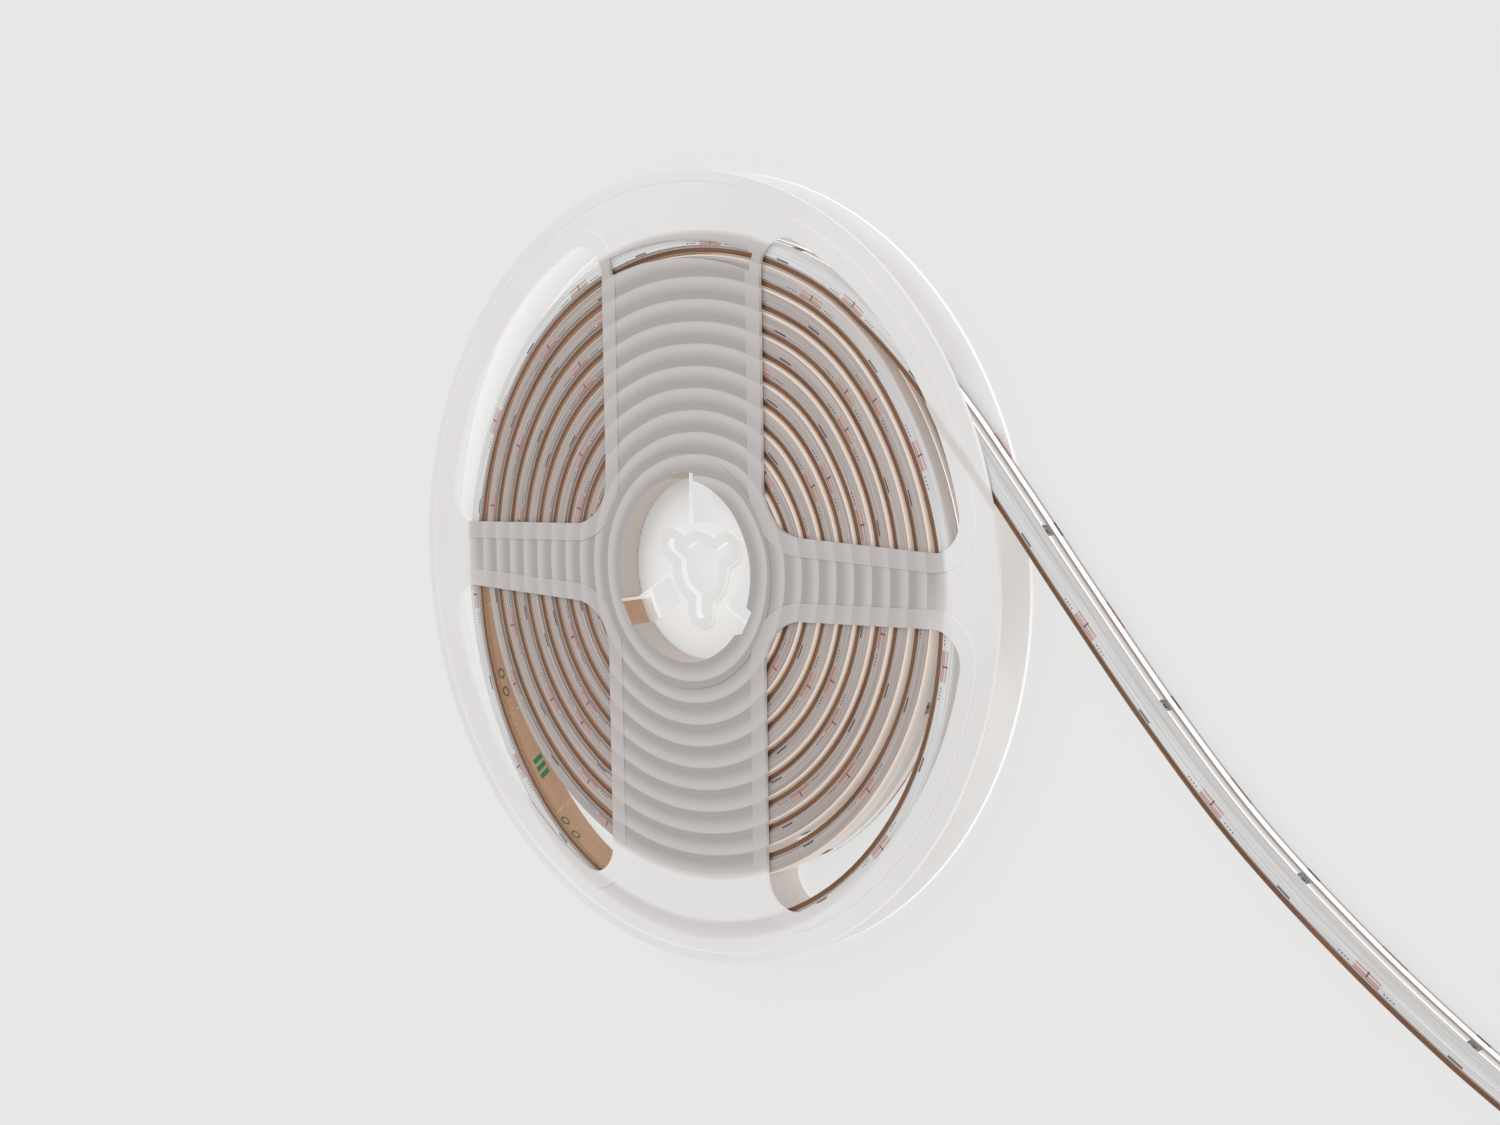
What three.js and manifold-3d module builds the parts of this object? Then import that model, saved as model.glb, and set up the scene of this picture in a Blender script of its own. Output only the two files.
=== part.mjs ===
// A reel of LED strip light: two pressed-together flanges with a hub between them, and a clear silicone
// strip wound ten times round the hub, whose free end runs off the roll. Millimetres, +Z up, with the
// reel lying on its rear flange and its axis along Z.
import * as THREE from 'three';
import { mergeVertices } from 'three/addons/utils/BufferGeometryUtils.js';
import Module from 'manifold-3d';

const wasm = await Module();
wasm.setup();

// Flanges
const rimRadius = 100;
const flangeThickness = 1.1;
const panelThickness = 0.75;
const rimBead = 2.5;
const lipWidth = 4.5;
const hubRingWidth = 2.9;

// Windows, one in each quarter of both flanges, between an upright pair and a tapered pair of spokes
const windowInset = 9.5;
const uprightSpokeHalf = 27.5;
const sideSpokeHalf = 11.46;
const sideSpokeTaper = 1.9;
const windowCorner = 8;
const windowHeel = 12.5;

// Curved slot across the top spoke of the front flange
const slotInset = 17;
const slotHeight = 4.6;
const slotMargin = 1.85;

// Hub, a wall on the rear flange round a sleeve on the front flange
const hubRadius = 27.1;
const hubWall = 1.9;
const hubSleeveWall = 1.6;
const hubSlotWidth = 8.2;
const hubSlotCount = 3;
const hubSlotAngle = 90;
const fitGap = 0.3;

// Web across the hub, with the arbor hole and its three key slots
const webBack = 4.2;
const webThickness = 1.5;
const arborRadius = 6.9;
const keyWidth = 3.4;
const keyReach = 12.8;
const collarWidth = 2.6;
const collarHeight = 0.8;
const webOpeningWidth = 8.2;
const webOpeningStart = 11.6;

// Strip, from the hub outwards: paper liner, adhesive tape and a silicone sleeve round the board
const stripWidth = 10;
const windingClearance = 0.25;
const layerGap = 0.05;
const linerThickness = 0.12;
const tapeThickness = 1.6;
const sleeveHeight = 3.3;
const sleeveFloor = 0.5;
const sleeveRoof = 0.7;
const sleeveSide = 0.9;
const shoulderWidth = 1.2;
const shoulderDrop = 0.6;
const boardWidth = 8;
const boardThickness = 0.3;
const boardClearance = 0.1;
const gelWidth = 2.8;
const gelTopWidth = 1.8;
const gelHeight = 0.8;
const plugLength = 5;
const plugStub = 6;
const plugClearance = 0.15;

// Chip resistors on the board, counted back from the strip's free end
const chipLength = 2;
const chipWidth = 1.25;
const chipHeight = 0.5;
const chipPocketGap = 0.25;
const chipCount = 4;
const chipSpacing = 48.2;
const firstChip = 25;

// Winding
const turns = 10;
const turnGap = 0.43;
const hubGap = 0.75;
const stationsPerTurn = 20;
const departureAngle = 47;
const tailSteps = 2;

// Each turn steps outwards over the buried inner end: [angle, drop as a share of the pitch]
const turnShape = [
  [10, 0], [30, -0.09], [45, -0.16], [55, -0.32], [65, -0.56], [88, -0.99],
  [110, -1.225], [140, -1.315], [180, -1.333], [260, -1.225], [345, -1.08],
];

// The outer two turns have sprung open on one side: [angle from the free end inwards, share of the most]
const widestSlack = 10.9;
const slack = [
  [47, 0], [85, 0], [105, 0], [165, 0.0367], [187, 0.1927], [215, 0.5321], [242, 0.9174], [270, 1],
  [297, 0.8716], [323, 0.5963], [350, 0.2477], [370, 0.0642], [392, 0], [430, 0], [600, 0.0183],
  [622, 0.0826], [700, 0.0917], [735, 0.0183], [760, 0],
];

// The free end's route, right and up from the point where it leaves the roll, as shares of its reach
const tailReach = 173.8;
const tailRoute = [
  [0.1194, -0.1086], [0.2278, -0.2322], [0.3379, -0.3633], [0.4574, -0.5006],
  [0.5823, -0.6289], [0.7199, -0.743], [0.8644, -0.8454], [1, -0.9272],
];

// Worked out from the sizes above
const depth = stripWidth + 2 * (windingClearance + flangeThickness);
const frontInner = depth - flangeThickness;
const hubInner = hubRadius - hubWall;
const hubSleeveOuter = hubInner - fitGap;
const hubOpening = hubSleeveOuter - hubSleeveWall;
const hubRing = hubRadius + hubRingWidth;
const webFront = webBack + webThickness;
const stripBase = flangeThickness + windingClearance;
const tapeStart = linerThickness + layerGap;
const sleeveStart = tapeStart + tapeThickness + layerGap;
const channelStart = sleeveStart + sleeveFloor;
const channelEnd = sleeveStart + sleeveHeight - sleeveRoof;
const boardStart = channelStart + boardClearance;
const boardTop = boardStart + boardThickness;
const pitch = sleeveStart + sleeveHeight + turnGap;
const deepestDrop = -Math.min(...turnShape.map(([, drop]) => drop));
const outerSeat = hubRadius + hubGap + pitch * (turns - 1 + deepestDrop);

const degree = Math.PI / 180;
const slotHalfAngle = Math.asin((uprightSpokeHalf - slotMargin) / (rimRadius - slotInset));
const overshoot = 1;
const chordSag = 0.12;

// Closed meshes to solids and back

function solid(geometry) {
  const bare = geometry.clone();
  bare.deleteAttribute('normal');
  bare.deleteAttribute('uv');
  const merged = mergeVertices(bare);
  return new wasm.Manifold(new wasm.Mesh({
    numProp: 3,
    vertProperties: new Float32Array(merged.attributes.position.array),
    triVerts: new Uint32Array(merged.index.array),
  }));
}

function geometryOf(manifold) {
  const { vertProperties, triVerts } = manifold.getMesh();
  const geometry = new THREE.BufferGeometry();
  geometry.setAttribute('position', new THREE.BufferAttribute(vertProperties, 3));
  geometry.setIndex(new THREE.BufferAttribute(triVerts, 1));
  const flat = geometry.toNonIndexed();
  flat.computeVertexNormals();
  return flat;
}

// Plane outlines, as lists of points with round stretches cut to the same chord sag

function polar(radius, angle) {
  return new THREE.Vector2(radius * Math.cos(angle), radius * Math.sin(angle));
}

function arc(centre, radius, from, to) {
  const widest = 2 * Math.acos(1 - chordSag / radius);
  const steps = Math.ceil(Math.abs(to - from) / widest);
  const turn = (to - from) / steps;
  return Array.from({ length: steps + 1 }, (_, i) => polar(radius, from + turn * i).add(centre));
}

function circle(radius) {
  return arc(new THREE.Vector2(), radius, 0, 2 * Math.PI).slice(1);
}

function slab(outline, bottom, top, holes = []) {
  const shape = new THREE.Shape(outline);
  shape.holes = holes.map((hole) => new THREE.Path(hole));
  const geometry = new THREE.ExtrudeGeometry(shape, { depth: top - bottom, bevelEnabled: false });
  return solid(geometry.translate(0, 0, bottom));
}

// A box that runs outwards from the axis, turned to an angle in degrees
function radialBox(width, from, to, bottom, top, angle) {
  const geometry = new THREE.BoxGeometry(to - from, width, top - bottom);
  geometry.translate((from + to) / 2, 0, (bottom + top) / 2);
  return solid(geometry.rotateZ(angle * degree));
}

function spread(count, first) {
  return Array.from({ length: count }, (_, i) => first + (360 * i) / count);
}

// Flanges

// The first quarter's window, its void grown by a margin on every side
function windowOutline(margin) {
  const taper = sideSpokeTaper * degree;
  const outer = rimRadius - windowInset + margin;
  const corner = windowCorner + margin;
  const heel = windowHeel + margin;
  const upright = uprightSpokeHalf - margin;
  const side = sideSpokeHalf * Math.cos(taper) - margin;
  const sideNormal = new THREE.Vector2(Math.sin(taper), Math.cos(taper));
  const sideAlong = new THREE.Vector2(Math.cos(taper), -Math.sin(taper));
  const reach = (offset) => Math.sqrt((outer - corner) ** 2 - (offset + corner) ** 2);
  const lowCorner = sideNormal.clone().multiplyScalar(side + corner).addScaledVector(sideAlong, reach(side));
  const highCorner = new THREE.Vector2(upright + corner, reach(upright));
  const heelX = upright + heel;
  const heelCentre = new THREE.Vector2(heelX, (side + heel - heelX * Math.sin(taper)) / Math.cos(taper));
  return [
    ...arc(lowCorner, corner, -Math.PI / 2 - taper, lowCorner.angle()),
    ...arc(new THREE.Vector2(), outer, lowCorner.angle(), highCorner.angle()).slice(1, -1),
    ...arc(highCorner, corner, highCorner.angle(), Math.PI),
    ...arc(heelCentre, heel, Math.PI, 1.5 * Math.PI - taper),
  ];
}

function windows(margin) {
  const outline = windowOutline(margin);
  const quarters = [[1, 1], [-1, 1], [-1, -1], [1, -1]];
  return quarters.map(([x, y]) => outline.map((p) => new THREE.Vector2(p.x * x, p.y * y)));
}

function curvedSlot() {
  const outer = rimRadius - slotInset;
  const [from, to] = [Math.PI / 2 - slotHalfAngle, Math.PI / 2 + slotHalfAngle];
  const centre = new THREE.Vector2();
  return [...arc(centre, outer, from, to), ...arc(centre, outer - slotHeight, to, from)];
}

// The face between hub ring, window lips and rim bead lies lower than they do
function panelRecess(bottom, top) {
  let recess = slab(circle(rimRadius - rimBead), bottom, top, [circle(hubRing)]);
  for (const lip of windows(lipWidth)) {
    recess = recess.subtract(slab(lip, bottom - overshoot, top + overshoot));
  }
  return recess;
}

function frontFlange() {
  const holes = [circle(hubOpening), ...windows(0), curvedSlot()];
  const disc = slab(circle(rimRadius), frontInner, depth, holes);
  const sleeveTo = frontInner + flangeThickness / 2;
  const sleeve = slab(circle(hubSleeveOuter), webFront + fitGap, sleeveTo, [circle(hubOpening)]);
  let flange = disc.subtract(panelRecess(frontInner + panelThickness, depth + overshoot)).add(sleeve);
  const frontTop = depth + overshoot;
  for (const angle of spread(hubSlotCount, hubSlotAngle)) {
    const notch = radialBox(hubSlotWidth, hubOpening / 2, hubSleeveOuter, webFront, frontTop, angle);
    flange = flange.subtract(notch);
  }
  return geometryOf(flange);
}

// The arbor hole with its three key slots, grown by a margin
function arborHole(margin, bottom, top) {
  const tip = (keyWidth / 2) + margin;
  const tipCentre = keyReach - keyWidth / 2;
  let hole = slab(circle(arborRadius + margin), bottom, top);
  for (const angle of spread(hubSlotCount, hubSlotAngle + 180 / hubSlotCount)) {
    const end = slab(arc(polar(tipCentre, angle * degree), tip, 0, 2 * Math.PI).slice(1), bottom, top);
    hole = hole.add(radialBox(2 * tip, 0, tipCentre, bottom, top, angle)).add(end);
  }
  return hole;
}

function rearFlange() {
  const disc = slab(circle(rimRadius), 0, flangeThickness, [circle(hubInner), ...windows(0)]);
  const wall = slab(circle(hubRadius), flangeThickness / 2, frontInner - fitGap, [circle(hubInner)]);
  const web = slab(circle(hubInner + hubWall / 2), webBack, webFront);
  const collar = arborHole(collarWidth, webBack + webThickness / 2, webFront + collarHeight);
  let flange = disc.subtract(panelRecess(-overshoot, flangeThickness - panelThickness)).add(wall).add(web);
  for (const angle of spread(hubSlotCount, hubSlotAngle)) {
    const opening = radialBox(webOpeningWidth, webOpeningStart, hubInner - hubWall / 2, 0, depth, angle);
    const slot = radialBox(hubSlotWidth, hubInner - hubWall, hubRadius + overshoot, flangeThickness, depth, angle);
    flange = flange.subtract(opening).subtract(slot);
  }
  return geometryOf(flange.add(collar).subtract(arborHole(0, 0, depth)));
}

// Winding: the seat line is the strip's inner face, from the end at the hub to the free end

// A smooth curve through knots, with each slope taken from the knots beside it
function smooth(knots, x) {
  const last = knots.length - 1;
  if (x <= knots[0][0]) return knots[0][1];
  if (x >= knots[last][0]) return knots[last][1];
  const i = knots.findIndex(([, ], k) => x <= knots[k + 1][0]);
  const slope = (k) => {
    const [a, b] = [knots[Math.max(k - 1, 0)], knots[Math.min(k + 1, last)]];
    return (b[1] - a[1]) / (b[0] - a[0]);
  };
  const width = knots[i + 1][0] - knots[i][0];
  const t = (x - knots[i][0]) / width;
  return (2 * t ** 3 - 3 * t ** 2 + 1) * knots[i][1] + (t ** 3 - 2 * t ** 2 + t) * width * slope(i)
    + (3 * t ** 2 - 2 * t ** 3) * knots[i + 1][1] + (t ** 3 - t ** 2) * width * slope(i + 1);
}

const turnKnots = [-1, 0, 1].flatMap((turn) => (
  turnShape.map(([angle, drop]) => [angle + 360 * turn, (drop - turn) * pitch])
));

function seatPoint(angle) {
  const wraps = Math.floor((angle - turnShape[0][0]) / 360);
  const wound = outerSeat - pitch * wraps + smooth(turnKnots, angle - 360 * wraps);
  return polar(wound + widestSlack * smooth(slack, angle), angle * degree);
}

function seatLine() {
  const points = [];
  for (let station = turns * stationsPerTurn; station > 0; station--) {
    points.push(seatPoint(departureAngle + (360 * station) / stationsPerTurn));
  }
  const departure = seatPoint(departureAngle);
  const before = points[points.length - 1];
  const tail = tailRoute.map(([x, y]) => new THREE.Vector2(x, y).multiplyScalar(tailReach).add(departure));
  const route = [before, departure, ...tail];
  const flat = route.map((p) => new THREE.Vector3(p.x, p.y, 0));
  const curve = new THREE.CatmullRomCurve3(flat, false, 'catmullrom', 0.5);
  const spans = route.length - 1;
  for (let step = tailSteps; step <= spans * tailSteps; step++) {
    const p = curve.getPoint(step / (spans * tailSteps));
    points.push(new THREE.Vector2(p.x, p.y));
  }
  return points;
}

const seat = seatLine();
const spanNormals = seat.slice(1).map((p, i) => {
  const along = p.clone().sub(seat[i]).normalize();
  return new THREE.Vector2(-along.y, along.x);
});
const distances = seat.reduce((sums, p, i) => (
  [...sums, i ? sums[i - 1] + p.distanceTo(seat[i - 1]) : 0]
), []);
const stripLength = distances[distances.length - 1];

// A point on the seat line with the normal of its span
function stationAt(distance) {
  const span = Math.min(distances.findIndex((d) => d >= distance && d > 0), seat.length - 1) - 1;
  const share = (distance - distances[span]) / (distances[span + 1] - distances[span]);
  return { point: seat[span].clone().lerp(seat[span + 1], share), normal: spanNormals[span] };
}

// The stations of a stretch of strip; at a corner the normal is lengthened so that the faces stay parallel
function stretch(from, to) {
  const stations = [stationAt(from)];
  for (let i = 1; i < seat.length - 1; i++) {
    if (distances[i] <= from || distances[i] >= to) continue;
    const [a, b] = [spanNormals[i - 1], spanNormals[i]];
    stations.push({ point: seat[i], normal: a.clone().add(b).divideScalar(1 + a.dot(b)) });
  }
  stations.push(stationAt(to));
  return stations;
}

// Sweeps a section, x outwards from the seat line and y across the strip, along a stretch
function sweep(outline, from, to, holes = []) {
  const stations = stretch(from, to);
  const shape = new THREE.Shape(outline.map(([x, y]) => new THREE.Vector2(x, y)));
  shape.holes = holes.map((hole) => new THREE.Path(hole.map(([x, y]) => new THREE.Vector2(x, y))));
  const steps = stations.length - 1;
  const geometry = new THREE.ExtrudeGeometry(shape, { depth: steps, steps, bevelEnabled: false });
  const position = geometry.attributes.position;
  for (let i = 0; i < position.count; i++) {
    const { point, normal } = stations[Math.round(position.getZ(i))];
    const place = point.clone().addScaledVector(normal, position.getX(i));
    position.setXYZ(i, place.x, place.y, stripBase + position.getY(i));
  }
  geometry.computeVertexNormals();
  return geometry;
}

function oblong(from, to, width) {
  const [low, high] = [(stripWidth - width) / 2, (stripWidth + width) / 2];
  return [[from, low], [to, low], [to, high], [from, high]];
}

const sleeveTop = sleeveStart + sleeveHeight;
const sleeveOutline = [
  [sleeveStart, 0], [sleeveTop - shoulderDrop, 0], [sleeveTop, shoulderWidth],
  [sleeveTop, stripWidth - shoulderWidth], [sleeveTop - shoulderDrop, stripWidth], [sleeveStart, stripWidth],
];
const channelWidth = stripWidth - 2 * sleeveSide;
const plugReach = plugLength + plugStub;

function endPlug(blockFrom, blockTo, stubFrom, stubTo) {
  const stubWidth = channelWidth - 2 * plugClearance;
  const stubSection = oblong(channelStart + plugClearance, channelEnd - plugClearance, stubWidth);
  const block = solid(sweep(sleeveOutline, blockFrom, blockTo));
  return geometryOf(block.add(solid(sweep(stubSection, stubFrom, stubTo))));
}

// The distances of the chips along the strip
const chips = Array.from({ length: chipCount }, (_, i) => stripLength - firstChip - i * chipSpacing);

function chipBox(distance, margin, bottom, top) {
  const { point, normal } = stationAt(distance);
  const box = new THREE.BoxGeometry(chipLength + 2 * margin, top - bottom, chipWidth + 2 * margin);
  const centre = point.clone().addScaledVector(normal, (bottom + top) / 2);
  return { box, centre, turn: normal.angle() - Math.PI / 2, height: stripBase + stripWidth / 2 };
}

function gelLine(from, to) {
  const [low, high] = [(stripWidth - gelWidth) / 2, (stripWidth + gelWidth) / 2];
  const inset = (gelWidth - gelTopWidth) / 2;
  const [start, end] = [boardTop + layerGap, boardTop + layerGap + gelHeight];
  let gel = solid(sweep([[start, low], [end, low + inset], [end, high - inset], [start, high]], from, to));
  for (const distance of chips) {
    const pocket = chipBox(distance, chipPocketGap, start - overshoot, end + overshoot);
    const { box, centre, turn, height } = pocket;
    gel = gel.subtract(solid(box.rotateZ(turn).translate(centre.x, centre.y, height)));
  }
  return geometryOf(gel);
}

// The reel, with each piece under its own name

const reel = new THREE.Group();

function piece(name, geometry, color, roughness, metalness = 0) {
  const mesh = new THREE.Mesh(geometry, new THREE.MeshStandardMaterial({ color, roughness, metalness }));
  mesh.name = name;
  reel.add(mesh);
  return mesh;
}

piece('rear_flange', rearFlange(), 0xebe6e1, 0.5);
piece('front_flange', frontFlange(), 0xe1e0e0, 0.45);

const sleeveFrom = plugLength + fitGap;
const boardFrom = plugReach + fitGap;
const channel = oblong(channelStart, channelEnd, channelWidth).reverse();
const board = oblong(boardStart, boardTop, boardWidth);
piece('silicone_sleeve', sweep(sleeveOutline, sleeveFrom, stripLength - sleeveFrom, [channel]), 0xd9d8d6, 0.25);
piece('circuit_board', sweep(board, boardFrom, stripLength - boardFrom), 0xb9b6b2, 0.5);
piece('led_gel_line', gelLine(boardFrom, stripLength - boardFrom), 0xd8ccc6, 0.4);
const tape = oblong(tapeStart, tapeStart + tapeThickness, stripWidth);
piece('adhesive_tape', sweep(tape, 0, stripLength), 0x6b5443, 0.8);
piece('release_liner', sweep(oblong(0, linerThickness, stripWidth), 0, stripLength), 0xb08f74, 0.7);
piece('inner_end_plug', endPlug(0, plugLength, plugLength / 2, plugReach), 0xd6d4d0, 0.35);
const [outerFrom, stubFrom] = [stripLength - plugLength, stripLength - plugReach];
piece('outer_end_plug', endPlug(outerFrom, stripLength, stubFrom, stripLength - plugLength / 2), 0xd6d4d0, 0.35);

chips.forEach((distance, i) => {
  const seatHeight = boardTop + layerGap;
  const { box, centre, turn, height } = chipBox(distance, 0, seatHeight, seatHeight + chipHeight);
  const chip = piece(`resistor_${i + 1}`, box, 0x2a2a2c, 0.4);
  chip.position.set(centre.x, centre.y, height);
  chip.rotation.z = turn;
});

// The origin is the middle of the whole object's footprint, on the ground
const bounds = new THREE.Box3().setFromObject(reel);
const middle = bounds.getCenter(new THREE.Vector3());
reel.position.set(-middle.x, -middle.y, -bounds.min.z);

export default reel;
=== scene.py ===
"""A reel of LED strip light, lying on its rear flange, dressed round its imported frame.

The two flanges are modelled again with rounded edges, and the strip's layers follow the same winding as
the frame's solids in fine steps. Sizes are in millimetres in the reel's own frame, whose origin is the
hub's centre on the rear flange's outer face. Each finished mesh is then put in its place in metres.
"""

import logging
import math
from dataclasses import dataclass, field
from enum import Enum
from typing import Any, Iterable, Optional, Union

import bmesh
import bpy
from mathutils import Matrix, Vector


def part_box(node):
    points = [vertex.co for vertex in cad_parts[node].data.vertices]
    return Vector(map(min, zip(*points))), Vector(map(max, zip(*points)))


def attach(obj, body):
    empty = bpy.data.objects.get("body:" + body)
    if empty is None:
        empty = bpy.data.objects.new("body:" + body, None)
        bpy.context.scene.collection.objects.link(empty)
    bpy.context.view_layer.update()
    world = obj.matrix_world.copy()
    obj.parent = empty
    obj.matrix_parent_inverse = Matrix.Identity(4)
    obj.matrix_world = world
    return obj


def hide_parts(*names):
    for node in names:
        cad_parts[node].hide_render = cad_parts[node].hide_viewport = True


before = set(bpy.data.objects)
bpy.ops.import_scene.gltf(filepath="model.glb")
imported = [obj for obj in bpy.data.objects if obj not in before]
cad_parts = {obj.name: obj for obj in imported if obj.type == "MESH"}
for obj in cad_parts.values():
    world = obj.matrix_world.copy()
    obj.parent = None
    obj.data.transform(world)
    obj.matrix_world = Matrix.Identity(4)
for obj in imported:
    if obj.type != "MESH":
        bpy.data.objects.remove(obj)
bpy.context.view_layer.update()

BODY = "root"
MM = 0.001
UP = Vector((0, 0, 1))
WELD = 0.0005

log = logging.getLogger("reel")

Outline = list[Vector]
Colour = tuple[float, float, float]


def tint(red: int, green: int, blue: int) -> Colour:
    """Turns a display colour into the linear colour that shaders take.

    Args:
        red: red as shown, 0 to 255.
        green: green as shown, 0 to 255.
        blue: blue as shown, 0 to 255.

    Returns:
        The linear red, green and blue.
    """

    def linear(level: int) -> float:
        """Undoes the display's curve for one channel."""
        share = level / 255
        return share / 12.92 if share <= 0.04045 else ((share + 0.055) / 1.055) ** 2.4

    return linear(red), linear(green), linear(blue)


# Sizes


@dataclass(frozen=True)
class ReelSizes:
    """Sizes of the two moulded halves, the same as the frame's."""

    rim_radius: float = 100.0
    flange_thickness: float = 1.1
    panel_thickness: float = 0.75
    rim_bead: float = 2.5
    lip_width: float = 4.5
    hub_ring_width: float = 2.9
    window_inset: float = 9.5
    upright_spoke_half: float = 27.5
    side_spoke_half: float = 11.46
    side_spoke_taper: float = math.radians(1.9)
    window_corner: float = 8.0
    window_heel: float = 12.5
    slot_inset: float = 17.0
    slot_height: float = 4.6
    slot_half_angle: float = math.radians(18)
    hub_radius: float = 27.1
    hub_wall: float = 1.9
    hub_sleeve_wall: float = 1.6
    hub_slot_width: float = 8.2
    hub_slots: tuple[float, ...] = tuple(math.radians(a) for a in (90, 210, 330))
    fit_gap: float = 0.3
    web_back: float = 4.2
    web_thickness: float = 1.5
    arbor_radius: float = 6.9
    key_width: float = 3.4
    key_reach: float = 12.8
    keys: tuple[float, ...] = tuple(math.radians(a) for a in (30, 150, 270))
    collar_width: float = 2.6
    collar_height: float = 0.8
    web_opening_start: float = 11.6
    strip_width: float = 10.0
    winding_clearance: float = 0.25

    @property
    def depth(self) -> float:
        """The reel's overall depth along its axis."""
        return self.strip_width + 2 * (self.winding_clearance + self.flange_thickness)

    @property
    def front_inner(self) -> float:
        """Height of the front flange's inner face."""
        return self.depth - self.flange_thickness

    @property
    def strip_base(self) -> float:
        """Height of the strip's rear edge."""
        return self.flange_thickness + self.winding_clearance

    @property
    def hub_inner(self) -> float:
        """Inner radius of the rear half's hub wall."""
        return self.hub_radius - self.hub_wall

    @property
    def hub_sleeve_outer(self) -> float:
        """Outer radius of the front half's hub sleeve."""
        return self.hub_inner - self.fit_gap

    @property
    def hub_opening(self) -> float:
        """Radius of the front flange's opening."""
        return self.hub_sleeve_outer - self.hub_sleeve_wall

    @property
    def hub_ring(self) -> float:
        """Outer radius of the thick ring round the hub."""
        return self.hub_radius + self.hub_ring_width

    @property
    def web_front(self) -> float:
        """Height of the web's front face."""
        return self.web_back + self.web_thickness


@dataclass(frozen=True)
class StripSizes:
    """Sizes across the strip, from its seat on the hub outwards."""

    liner_thickness: float = 0.12
    layer_gap: float = 0.05
    tape_thickness: float = 1.6
    tape_width: float = 9.0
    sleeve_height: float = 3.3
    sleeve_floor: float = 1.75
    sleeve_roof: float = 0.4
    sleeve_side: float = 0.9
    shoulder_width: float = 1.2
    shoulder_drop: float = 0.6
    board_width: float = 8.0
    board_thickness: float = 0.3
    board_clearance: float = 0.1
    gel_width: float = 2.4
    gel_height: float = 0.4
    plug_length: float = 5.0
    plug_stub: float = 6.0
    plug_clearance: float = 0.15
    chip_length: float = 2.0
    chip_width: float = 1.25
    chip_height: float = 0.62
    chip_spacing: float = 48.2
    first_chip: float = 25.0
    shown_chips: int = 4

    @property
    def tape_start(self) -> float:
        """Offset of the tape's inner face."""
        return self.liner_thickness + self.layer_gap

    @property
    def sleeve_start(self) -> float:
        """Offset of the sleeve's back."""
        return self.tape_start + self.tape_thickness + self.layer_gap

    @property
    def sleeve_top(self) -> float:
        """Offset of the sleeve's outer face."""
        return self.sleeve_start + self.sleeve_height

    @property
    def channel_start(self) -> float:
        """Offset of the channel's floor."""
        return self.sleeve_start + self.sleeve_floor

    @property
    def channel_end(self) -> float:
        """Offset of the channel's roof."""
        return self.sleeve_top - self.sleeve_roof

    @property
    def board_start(self) -> float:
        """Offset of the board's back."""
        return self.channel_start + self.board_clearance

    @property
    def board_top(self) -> float:
        """Offset of the board's lit face."""
        return self.board_start + self.board_thickness


@dataclass(frozen=True)
class Winding:
    """The strip's route: ten turns round the hub, sprung open on one side, and a free end."""

    turns: int = 10
    turn_gap: float = 0.43
    hub_gap: float = 0.75
    departure: float = 47.0
    step: float = 3.0
    tail_steps: int = 14
    turn_shape: tuple[tuple[float, float], ...] = (
        (10, 0), (30, -0.09), (45, -0.16), (55, -0.32), (65, -0.56), (88, -0.99),
        (110, -1.225), (140, -1.315), (180, -1.333), (260, -1.225), (345, -1.08),
    )
    slack: tuple[tuple[float, float], ...] = (
        (47, 0), (85, 0), (105, 0), (165, 0.4), (187, 2.1), (215, 5.8), (242, 10), (270, 10.9),
        (297, 9.5), (323, 6.5), (350, 2.7), (370, 0.7), (392, 0), (430, 0), (600, 0.2), (622, 0.9),
        (700, 1), (735, 0.2), (760, 0),
    )
    tail_route: tuple[tuple[float, float], ...] = (
        (20.75, -18.87), (39.59, -40.36), (58.73, -63.14), (79.5, -87), (101.2, -109.3),
        (125.12, -129.13), (150.23, -146.93), (173.8, -161.15),
    )


REEL = ReelSizes()
STRIP = StripSizes()


# Meshes


def polar(radius: float, angle: float) -> Vector:
    """A point in the plane at a radius and an angle in radians."""
    return Vector((radius * math.cos(angle), radius * math.sin(angle)))


def arc(centre: Vector, radius: float, start: float, end: float, sag: float = 0.012) -> Outline:
    """Points along an arc, close enough together that the chords stay near it.

    Args:
        centre: the arc's centre.
        radius: its radius.
        start: the first angle, in radians.
        end: the last angle, in radians.
        sag: how far a chord may fall short of the arc.

    Returns:
        The points, both ends included.
    """
    steps = math.ceil(abs(end - start) / (2 * math.acos(1 - sag / radius)))
    return [centre + polar(radius, start + (end - start) * i / steps) for i in range(steps + 1)]


def circle(radius: float) -> Outline:
    """A whole circle about the axis."""
    return arc(Vector((0, 0)), radius, 0, math.tau)[1:]


def plate(loops: Iterable[Outline], bottom: float, top: float) -> bmesh.types.BMesh:
    """Fills nested loops and gives the sheet its thickness.

    Args:
        loops: outlines in the plane, where a loop inside another is a hole.
        bottom: height of the lower face.
        top: height of the upper face.

    Returns:
        The closed mesh.
    """
    bm = bmesh.new()
    for loop in loops:
        verts = [bm.verts.new((p.x, p.y, bottom)) for p in loop]
        for a, b in zip(verts, verts[1:] + verts[:1]):
            bm.edges.new((a, b))
    bmesh.ops.triangle_fill(bm, edges=bm.edges[:], use_beauty=True)
    raised = bmesh.ops.extrude_face_region(bm, geom=bm.faces[:])["geom"]
    lifted = [v for v in raised if isinstance(v, bmesh.types.BMVert)]
    bmesh.ops.translate(bm, verts=lifted, vec=UP * (top - bottom))
    bmesh.ops.recalc_face_normals(bm, faces=bm.faces[:])
    return bm


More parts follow.
